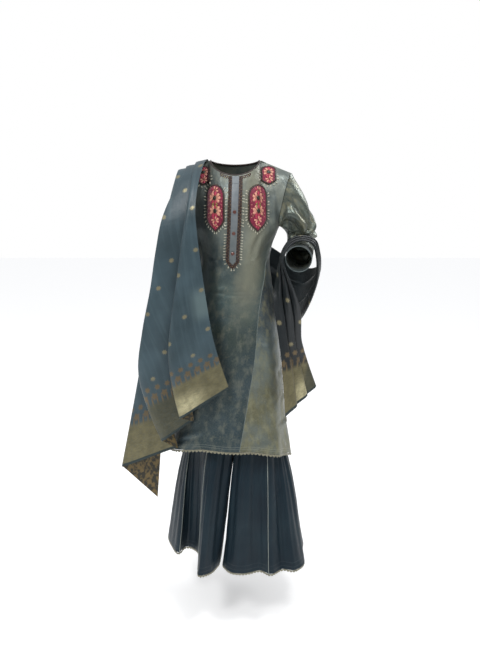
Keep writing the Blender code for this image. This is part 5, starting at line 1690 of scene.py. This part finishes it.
# Beads, as their radius and how high they stand
SMALL_BEAD = (0.0012, 0.0011)
EDGE_BEAD = (0.0011, 0.0010)
BORDER_BEAD = (0.0010, 0.0010)
BORDER_PEARL = (0.0013, 0.0012)
NECK_BEAD = (0.0018, 0.0014)
SMALL_NECK_BEAD = (0.0014, 0.0011)
FLOWER_MIDDLE = (0.0072, 0.0021)
SMALL_FLOWER_MIDDLE = (0.0018, 0.0012)

# Drops: the shortest one's length and how much longer the next ones are, half the width and the height
PATCH_DROP = (0.0033, 0.0003, 0.0018, 0.0014)
BORDER_DROP = (0.0034, 0.0003, 0.0019, 0.0015)
UNEVEN_TURNS = (0, 14, -9, 22, -17)  # hand-sewn drops don't all point the same way: degrees off, in turn

WORK_LIFT = 0.0030  # how far the petals and stitches stand off the cloth under a patch
DROP_LIFT = 0.0008
PEARL_LIFT = 0.0006
APPLIQUE_THICKNESS = 0.0012


def stamp_of(kind):
    """One bead, petal or drop, modelled from a primitive and kept as its points and faces."""
    bpy.ops.object.select_all(action="DESELECT")
    bpy.ops.mesh.primitive_uv_sphere_add(segments=8, ring_count=5, radius=1.0)
    made = bpy.context.active_object
    verts = np.array([v.co[:] for v in made.data.vertices])
    faces = [tuple(face.vertices) for face in made.data.polygons]
    bpy.data.objects.remove(made, do_unlink=True)
    if kind == "drop":
        verts[:, 0] *= 1 - 0.62 * np.clip(verts[:, 1], -1, 1)
    if kind == "petal":
        verts[:, 0] *= 0.55 + 0.45 * np.clip(verts[:, 1] + 0.2, -1, 1)
        verts[:, 2] += 0.25 * verts[:, 0] ** 2
    return verts, faces


class Stitching:
    """Beads and stitches of one kind, all sewn as one piece."""

    def __init__(self, name, kind, finish, slot):
        self.name = name
        self.stamp = stamp_of(kind)
        self.finish = finish
        self.slot = slot
        self.verts = []
        self.faces = []

    def sew(self, point, normal, turned, long, wide, high, lift):
        """One stitch at a point, turned so many degrees from straight down towards the wearer's left."""
        normal = unit(np.array(normal))
        a = math.radians(turned)
        ahead = np.array([math.sin(a), 0.0, -math.cos(a)])
        ahead = unit(ahead - normal * (ahead @ normal))
        across = np.cross(ahead, normal)
        verts, faces = self.stamp
        start = sum(len(part) for part in self.verts)
        shape = verts[:, :1] * wide * across + verts[:, 1:2] * long * ahead + verts[:, 2:] * high * normal
        self.verts.append(shape + point + normal * lift - DROP)
        self.faces += [tuple(start + i for i in face) for face in faces]

    def bead(self, point, normal, size, lift):
        radius, high = size
        self.sew(point, normal, 0, radius, radius, high, lift)

    def drop(self, point, normal, way, number, size, lift):
        """A drop that points along a way of (across, height), a little off it and uneven in length."""
        short, longer, wide, high = size
        turned = math.degrees(math.atan2(way[0], -way[1])) + 180 + UNEVEN_TURNS[number % len(UNEVEN_TURNS)]
        self.sew(point, normal, turned, short + longer * (number % 4), wide, high, lift)

    def finish_off(self):
        return sewn_mesh(self.name, np.concatenate(self.verts), self.faces, self.finish)


def front_reader(piece):
    """A function that gives the front cloth's outer point and normal at a place across and height."""
    mesh = piece.data
    places = [v.co.copy() for v in mesh.vertices]
    tree = BVHTree.FromPolygons(places, [tuple(p.vertices) for p in mesh.polygons])
    backwards = Vector((0.0, 1.0, 0.0))

    def pin(across, height):
        hit, normal = tree.ray_cast(Vector((across, -1.0, height - SHOULDER_HEIGHT)), backwards)[:2]
        if hit is None:
            return pin(across * 0.97, height - 0.002)
        return np.array(hit) + DROP, np.array(normal)

    return pin


def smooth_pin(pin, across, height, reach=0.004):
    """A point on the cloth with the mean normal round it."""
    point, _ = pin(across, height)
    steps = ((reach, 0), (-reach, 0), (0, reach), (0, -reach))
    around = [pin(across + dx, height + dz)[1] for dx, dz in steps]
    return point, unit(np.sum(around, axis=0))


def applique(name, pin, rows, columns, lift, finish, node, puff=0.0):
    """A stitched patch on the front. Each row gives a height, its middle and its half width."""
    points = []
    normals = []
    cut = []
    for height, middle, half in rows:
        row = np.linspace(-1, 1, columns + 1)
        pairs = [smooth_pin(pin, middle + half * share, height) for share in row]
        rise = lift + puff * np.sqrt(np.clip(1 - row**2, 0, 1))
        points.append([point + normal * up for (point, normal), up in zip(pairs, rise)])
        normals.append([normal for _, normal in pairs])
        cut.append([(middle + half * share, height) for share in row])
    piece = shell(name, np.array(points), np.array(normals), APPLIQUE_THICKNESS, finish, np.array(cut))
    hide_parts(node)


# A patch's outline: the share of its widest half width at a share of the way down
PATCH_DOWN = (0, 0.03, 0.08, 0.16, 0.24, 0.50, 0.76, 0.86, 0.94, 1.0)
PATCH_WIDE = (0.14, 0.50, 0.80, 0.96, 1.0, 0.96, 1.0, 0.74, 0.34, 0.05)


def patch_half(down):
    return float(np.interp(down, PATCH_DOWN, PATCH_WIDE))


# Each bust patch's flowers: share down the patch, place across (share of half width), petal length, petal
# count, and whether the middle is large (1) or small (0)
BUST_FLOWERS = table(
    "down across petal petals big",
    (0.11, 0.00, 0.0090, 6, 0),
    (0.28, -0.02, 0.0150, 9, 1),
    (0.56, 0.02, 0.0150, 9, 1),
    (0.76, 0.00, 0.0100, 7, 0),
    (0.89, 0.02, 0.0070, 5, 0),
)

# Leaves and single stitches on both sides of a bust patch's middle: the batch, the shares down the patch,
# how far across, degrees turned, length, half width, height, and how much higher than the petals they lie
BUST_LEAVES = (
    ("leaf_stitches", (0.40, 0.45), 0.005, 50, 0.0062, 0.0026, 0.0012, 0.0004),
    ("leaf_stitches", (0.66, 0.20), 0.015, 30, 0.0034, 0.0014, 0.0009, -0.0004),
    ("salmon_petals", (0.34, 0.42, 0.50, 0.62, 0.70), 0.019, 70, 0.0026, 0.0014, 0.0009, -0.0006),
)

PATCH_ROWS = 28
FLOWER_TURN = 12
PETAL_OUT = 0.72  # a petal's middle lies so many petal lengths out
MIDDLE_RING = 0.0084
MIDDLE_RING_BEADS = 14


def sew_flower(pin, work, across, height, petal, count, big=True):
    """Petals round a point, every fourth one rose, and a beaded middle."""
    point, normal = smooth_pin(pin, across, height)
    for i in range(count):
        turned = 360 * i / count + FLOWER_TURN
        a = math.radians(turned)
        out = PETAL_OUT * petal
        on, outwards = smooth_pin(pin, across + out * math.sin(a), height - out * math.cos(a))
        batch = work["salmon_petals"] if i % 4 else work["rose_petals"]
        batch.sew(on, outwards, turned, petal * 0.62, petal * 0.46, 0.0013, WORK_LIFT)
    if not big:
        work["gold_beads"].bead(point, normal, SMALL_FLOWER_MIDDLE, WORK_LIFT + 0.0008)
        return
    work["flower_middles"].bead(point, normal, FLOWER_MIDDLE, WORK_LIFT + 0.0008)
    for i in range(MIDDLE_RING_BEADS):
        a = 2 * math.pi * i / MIDDLE_RING_BEADS
        on, out = pin(across + MIDDLE_RING * math.sin(a), height - MIDDLE_RING * math.cos(a))
        work["gold_beads"].bead(on, out, SMALL_BEAD, WORK_LIFT + 0.0010)


def make_embroidery(pin):
    """The patches and the placket. Returns the dark silk, which the neck's binding has too."""
    pink = make_thread("pink silk stitch", linear(96, 10, 38), linear(150, 36, 70), turn=0.5)
    salmon = make_bead_finish("salmon thread", linear(228, 160, 138), roughness=0.5, coat=0.0)
    rose = make_bead_finish("rose thread", linear(190, 62, 88), roughness=0.5, coat=0.0)
    leaf = make_bead_finish("leaf thread", linear(150, 150, 74), roughness=0.5, coat=0.0)
    umber = make_thread("umber silk cord", linear(34, 24, 22), linear(62, 44, 38), stitch=0.0016, sheen=0.05)
    garnet = make_bead_finish("garnet bead", linear(74, 24, 28), roughness=0.25)
    jet = make_bead_finish("smoky bead", linear(44, 42, 32), roughness=0.45, coat=0.0)
    pearl = make_bead_finish("cream pearl", linear(196, 194, 174), roughness=0.3)
    antique = make_bead_finish("antique gold bead", linear(150, 124, 84), roughness=0.3, metallic=0.7)
    batches = (
        ("salmon_petals", "petal", salmon, "pink_patch"),
        ("rose_petals", "petal", rose, "pink_patch"),
        ("leaf_stitches", "petal", leaf, "pink_patch"),
        ("flower_middles", "bead", jet, "dark_beadwork"),
        ("garnet_beads", "bead", garnet, "dark_beadwork"),
        ("gold_beads", "bead", antique, "button_bead"),
        ("pearl_drops", "drop", pearl, "cream_trim"),
        ("pearl_beads", "bead", pearl, "cream_trim"),
    )
    work = {batch[0]: Stitching(*batch) for batch in batches}
    for name, patch in PATCHES.items():
        make_patch(pin, work, name, patch, pink, umber)
    make_placket_work(pin, work)
    for batch in work.values():
        batch.finish_off()
    return umber


def make_patch(pin, work, name, patch, pink, umber):
    """A stitched patch with a dark cord round it, its flowers, and beads and drops outside it."""
    middle, top, bottom, widest = patch
    tall = top - bottom
    downs = np.linspace(0, 1, PATCH_ROWS)
    rows = [(top - down * tall, middle, widest * patch_half(down)) for down in downs]
    applique("stitched_" + name, pin, rows, 12, 0.0009, pink, name, puff=0.0014)
    outline = [(middle + half, height) for height, _, half in rows]
    outline += [(middle - half, height) for height, _, half in rows[::-1]]
    outline = np.array(outline)
    pairs = [smooth_pin(pin, *place) for place in outline]
    path = np.array([point + normal * PATCH_CORD_LIFT for point, normal in pairs])
    normals = np.array([normal for _, normal in pairs])
    round_cord("cord_" + name, path, normals, PATCH_CORD_RADIUS, umber, closed=True)
    centre = np.array([middle, (top + bottom) / 2])
    for i, place in enumerate(even_places(outline, 0.0030, closed=True)):
        on, out = pin(*(place + 0.0030 * unit(place - centre)))
        work["garnet_beads" if i % 3 else "gold_beads"].bead(on, out, EDGE_BEAD, 0.0007)
    shoulder = name.startswith("shoulder")
    if shoulder:
        sew_flower(pin, work, middle, top - 0.34 * tall, 0.0125, 9)
        sew_flower(pin, work, middle + 0.002, top - 0.74 * tall, 0.0095, 7, big=False)
    else:
        for down, across, petal, count, big in zip(*BUST_FLOWERS.values()):
            sew_flower(pin, work, middle + across * widest, top - down * tall, petal, int(count), big=big > 0)
        for side in (-1, 1):
            for batch, leaf_downs, across, turned, long, wide, high, above in BUST_LEAVES:
                for down in leaf_downs:
                    on, out = smooth_pin(pin, middle + side * across, top - down * tall)
                    work[batch].sew(on, out, side * turned, long, wide, high, WORK_LIFT + above)
    for i, place in enumerate(even_places(outline, 0.0078, closed=True)):
        down = (top - place[1]) / tall
        if down < (0.40 if shoulder else 0.10) or (down < 0.55 and i % 3 == 1):
            continue
        way = place - centre
        way[1] *= 0.35 if down < 0.75 else 1.0
        way = unit(way)
        outside = place + way * 0.0085
        beside_placket = abs(outside[0] + 0.003) < 0.026 and outside[1] > 1.24
        if beside_placket:
            continue
        on, out = smooth_pin(pin, *outside)
        work["pearl_drops"].drop(on, out, way, i, PATCH_DROP, DROP_LIFT)
        on, out = pin(*(place + way * 0.0048))
        work["pearl_beads"].bead(on, out, SMALL_BEAD, PEARL_LIFT)


def even_places(outline, pitch, closed=False):
    """Places so far apart along a line of (across, height) points."""
    line = np.concatenate([outline, outline[:1]]) if closed else np.array(outline)
    lengths = np.concatenate([[0.0], np.cumsum(np.linalg.norm(np.diff(line, axis=0), axis=1))])
    count = max(int(lengths[-1] / pitch), 1)
    at = np.linspace(0, lengths[-1], count, endpoint=not closed)
    return np.stack([np.interp(at, lengths, line[:, i]) for i in range(2)], axis=1)


# The strip and its borders run up to the neck's binding
STRIP_RISE = 0.0095
STRIP_ROWS = 42
STRIP_LIFT = 0.0016
BORDER_RISE = (0.0012, 0.0022, 0.0024, 0.0022, 0.0012)  # how far the border's lines stand off the cloth


def make_placket_work(pin, work):
    """The placket's strip, its beaded borders that meet in a point, and the drops round them."""
    strip = make_strip_cloth()
    heights = np.linspace(PLACKET_TOP + STRIP_RISE, PLACKET_BOTTOM, STRIP_ROWS)
    rows = [(h, read(PLACKET_MIDDLE, "middle", h), PLACKET_HALF_WIDTH) for h in heights]
    tip = PLACKET_BOTTOM - PLACKET_HALF_WIDTH
    middle = PLACKET_MIDDLE["middle"][-1]
    for share in (0.25, 0.5, 0.75, 1.0):
        h = PLACKET_BOTTOM + share * (tip - PLACKET_BOTTOM)
        rows.append((h, middle, PLACKET_HALF_WIDTH * max(1 - share, 0.06)))
    applique("stitched_placket", pin, rows, 6, STRIP_LIFT, strip, "placket", puff=0.0004)
    sides = []
    for side in (-1, 1):
        aside = side * (PLACKET_HALF_WIDTH + EDGING_WIDTH / 2)
        sides.append([(read(PLACKET_MIDDLE, "middle", h) + aside, h) for h in heights])
    low = [(middle, (tip + EDGING_BOTTOM) / 2 - 0.001)]
    route = np.array(sides[0] + low + sides[1][::-1])
    fine = even_places(route, 0.004)
    ahead = np.gradient(fine, axis=0)
    ahead /= np.linalg.norm(ahead, axis=1, keepdims=True)
    aside = np.stack([ahead[:, 1], -ahead[:, 0]], axis=1)
    make_border(pin, fine, aside)
    sew_border(pin, work, route, fine, aside, middle)
    sew_neck_beads(pin, work)


def make_border(pin, fine, aside):
    """The dark ground of the placket's border, rounded across."""
    dark = linear(38, 30, 26)
    lighter = linear(64, 50, 42)
    ground = make_thread("umber ground", dark, lighter, stitch=0.0012, turn=0.8, sheen=0.05)
    across = np.linspace(-EDGING_WIDTH / 2, EDGING_WIDTH / 2, len(BORDER_RISE))
    points = []
    normals = []
    cut = []
    for place, side in zip(fine, aside):
        places = [place + side * width for width in across]
        row = [smooth_pin(pin, *at) for at in places]
        points.append([point + normal * up for (point, normal), up in zip(row, BORDER_RISE)])
        normals.append([normal for _, normal in row])
        cut.append([tuple(at) for at in places])
    points, normals, cut = facing_out(np.array(points), np.array(normals), np.array(cut), 2)
    piece = shell("stitched_edging", points, normals, APPLIQUE_THICKNESS, ground, cut)
    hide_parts("placket_edging")


def sew_border(pin, work, route, fine, aside, middle):
    """A zigzag of beads on the border, a row along each of its edges, and drops outside it."""
    for i, place in enumerate(even_places(route, 0.0026)):
        side = aside[int(np.argmin(np.linalg.norm(fine - place, axis=1)))]
        zigzag = (-1, 0, 1, 0)[i % 4] * EDGING_WIDTH * 0.30
        on, out = smooth_pin(pin, *(place + side * zigzag))
        work["garnet_beads" if i % 2 else "gold_beads"].bead(on, out, SMALL_BEAD, 0.0034)
        for edge in (-0.5, 0.5):
            on, out = pin(*(place + side * EDGING_WIDTH * edge))
            work["garnet_beads"].bead(on, out, BORDER_BEAD, 0.0016)
    outward = 1 if aside[0][0] < 0 else -1
    for i, place in enumerate(even_places(route, 0.0088)):
        if place[1] > 1.452 or (place[1] > 1.330 and i % 4 == 2):
            continue
        if place[1] > 1.245:
            side = aside[int(np.argmin(np.linalg.norm(fine - place, axis=1)))]
            way = unit(side * outward + np.array([0.0, -0.25]))
        else:
            way = unit(place - np.array([middle, 1.246]))
        on, out = smooth_pin(pin, *(place + way * (EDGING_WIDTH / 2 + 0.0062)))
        work["pearl_drops"].drop(on, out, way, i, BORDER_DROP, DROP_LIFT)
        on, out = pin(*(place + way * (EDGING_WIDTH / 2 + 0.0022)))
        work["pearl_beads"].bead(on, out, BORDER_PEARL, PEARL_LIFT)


def sew_neck_beads(pin, work):
    """Two short rows of beads beside the placket, under the neck's binding."""
    for side in (-1, 1):
        neck = []
        for across in np.linspace(0.016, 0.046, 12):
            angle = math.asin(min(across / NECK_HALF_WIDTH, 1))
            edge = SHOULDER_HEIGHT - NECK_DROP_FRONT * math.cos(angle) ** 1.3
            neck.append((0.002 + side * across, edge - 0.0085))
        for i, place in enumerate(even_places(np.array(neck), 0.0026)):
            on, out = pin(place[0], place[1] + (0.0016 if i % 2 else -0.0016))
            work["garnet_beads" if i % 3 else "gold_beads"].bead(on, out, NECK_BEAD, 0.0008)
            on, out = pin(place[0], place[1] + 0.0052)
            work["garnet_beads"].bead(on, out, SMALL_NECK_BEAD, 0.0006)


def make_strip_cloth():
    weave = Weave("placket silk", roughness=0.4, sheen=0.3, metallic=0.15)
    ground = weave.mix(weave.noise(60.0, 2.0), linear(92, 102, 108), linear(126, 130, 132))
    high = weave.split()[1]
    lower = weave.band(high, 1.0, 1.33, 0.04)
    ground = weave.mix(weave.times(lower, 0.5), ground, linear(82, 92, 90))
    joint = weave.band(high, 1.4745, 1.4757, 0.0003)
    ground = weave.mix(weave.times(joint, 0.8), ground, linear(74, 84, 92))
    weave.raise_by(weave.threads(), 0.0001)
    weave.raise_by(weave.noise(90.0, 2.0), 0.0005)
    weave.raise_by(joint, -0.0008)
    return weave.done(ground)


def make_neck_cord(kurta, umber):
    """The rolled binding round the neck, on the front's and the back's own edges."""
    front_edge = kurta["kurta_front"][1][0]
    back_edge = kurta["kurta_back"][1][0]
    neck = NECK_HALF_WIDTH - 0.001
    front_part = front_edge[np.abs(front_edge[:, 0]) < neck]
    back_part = back_edge[np.abs(back_edge[:, 0]) < neck]
    loop = np.concatenate([front_part, back_part])
    centre = np.array([0.0, loop[:, 1].mean(), SHOULDER_HEIGHT + 0.02])
    ahead = along(np.roll(loop, -1, axis=0) - np.roll(loop, 1, axis=0))
    inward = centre - loop
    inward = along(inward - ahead * (inward * ahead).sum(axis=1, keepdims=True))
    normals = along(np.cross(inward, ahead))
    path = loop + inward * (KURTA_CLOTH / 2 + NECK_CORD_LIFT)
    name = "cord_neck_binding"
    piece = round_cord(name, path, normals, NECK_CORD_RADIUS, umber, closed=True, flatten=1.0)
    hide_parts("neck_binding")


def make_side_seam(kurta):
    """The pale cord along the seam between the front and the gold panel."""
    _, middle, normals = kurta["kurta_side_panel_left"]
    pale = make_thread("pale piping silk", linear(84, 96, 94), linear(118, 128, 122), stitch=0.0020)
    path = middle[:, 0] + normals[:, 0] * SIDE_SEAM_LIFT
    round_cord("cord_side_panel_seam", path, normals[:, 0], SEAM_CORD_RADIUS, pale)


def make_studio_world(scene):
    """White behind the suit, and a soft sky that is bright above and dim near the ground."""
    world = bpy.data.worlds.new("studio")
    world.use_nodes = True
    tree = world.node_tree
    sky = tree.nodes["Background"]
    backdrop = tree.nodes.new("ShaderNodeBackground")
    backdrop.inputs["Color"].default_value = (1.0, 1.0, 1.0, 1.0)
    seen = tree.nodes.new("ShaderNodeLightPath")
    choose = tree.nodes.new("ShaderNodeMixShader")
    way = tree.nodes.new("ShaderNodeTexCoord")
    parts = tree.nodes.new("ShaderNodeSeparateXYZ")
    rise = tree.nodes.new("ShaderNodeMapRange")
    rise.inputs["From Min"].default_value = -0.2
    rise.inputs["From Max"].default_value = 0.9
    rise.inputs["To Min"].default_value = 0.14
    rise.inputs["To Max"].default_value = 0.85
    tree.links.new(way.outputs["Generated"], parts.inputs[0])
    tree.links.new(parts.outputs[2], rise.inputs["Value"])
    tree.links.new(rise.outputs["Result"], sky.inputs["Strength"])
    sky.inputs["Color"].default_value = (0.97, 0.98, 1.0, 1.0)
    tree.links.new(seen.outputs["Is Camera Ray"], choose.inputs[0])
    tree.links.new(sky.outputs[0], choose.inputs[1])
    tree.links.new(backdrop.outputs[0], choose.inputs[2])
    tree.links.new(choose.outputs[0], tree.nodes["World Output"].inputs["Surface"])
    scene.world = world


CAMERA_ACROSS = 0.016
CAMERA_AWAY = 2.12
CAMERA_HEIGHT = 1.50
CAMERA_TILT = 13.3  # degrees down from level
CAMERA_LENS = 35.56
SENSOR_WIDTH = 36.0

# Lamps: where each is and what it points at, its power in watts and its size
LAMPS = (
    ("key light", (-1.3, -2.0, 1.7), (0.0, 0.0, -0.4), 42.0, 0.7),
    ("high light", (0.9, -1.0, 2.2), (0.0, 0.0, -0.4), 30.0, 0.6),
    ("rim light", (1.8, 1.2, 0.8), (0.1, 0.0, -0.4), 14.0, 0.6),
)


def make_camera_and_lights():
    scene = bpy.context.scene
    view = bpy.data.cameras.new("camera")
    view.lens = CAMERA_LENS
    view.sensor_width = SENSOR_WIDTH
    holder = bpy.data.objects.new("camera", view)
    holder.location = (CAMERA_ACROSS, -CAMERA_AWAY, CAMERA_HEIGHT - SHOULDER_HEIGHT)
    holder.rotation_euler = (math.radians(90 - CAMERA_TILT), 0.0, 0.0)
    scene.collection.objects.link(holder)
    scene.camera = holder
    bpy.ops.object.select_all(action="DESELECT")
    bpy.ops.mesh.primitive_plane_add(size=14.0, location=(0.0, 3.0, -SHOULDER_HEIGHT))
    floor = bpy.context.active_object
    floor.name = "floor"
    paint = bpy.data.materials.new("pale floor")
    paint.use_nodes = True
    sockets = paint.node_tree.nodes["Principled BSDF"].inputs
    sockets["Base Color"].default_value = (0.93, 0.93, 0.93, 1.0)
    sockets["Roughness"].default_value = 0.9
    sockets["Emission Color"].default_value = (1.0, 1.0, 1.0, 1.0)
    sockets["Emission Strength"].default_value = 0.33
    floor.data.materials.append(paint)
    make_studio_world(scene)
    for name, place, target, power, size in LAMPS:
        lamp = bpy.data.lights.new(name, "AREA")
        lamp.energy = power
        lamp.size = size
        holder = bpy.data.objects.new(name, lamp)
        holder.location = place
        holder.rotation_euler = (Vector(target) - Vector(place)).to_track_quat("-Z", "Y").to_euler()
        scene.collection.objects.link(holder)
    scene.view_settings.view_transform = "Standard"


make_camera_and_lights()
kurta = make_kurta()
make_sleeves()
seams = make_sharara()
make_dupatta()
cream = make_lace_finish("cream crochet", linear(104, 102, 84), linear(156, 152, 130))
piping_silk = make_thread("cream piping silk", linear(112, 122, 120), linear(150, 156, 148), stitch=0.0020)
make_pipings(seams, piping_silk)
make_laces(kurta, cream)
make_leg_laces(cream)
dark_silk = make_embroidery(front_reader(kurta["kurta_front"][0]))
make_neck_cord(kurta, dark_silk)
make_side_seam(kurta)
button_finish = make_bead_finish("button stone", linear(104, 62, 54), roughness=0.3, metallic=0.3)
for name in ("button_1", "button_2", "button_3"):
    refinish(name, button_finish)
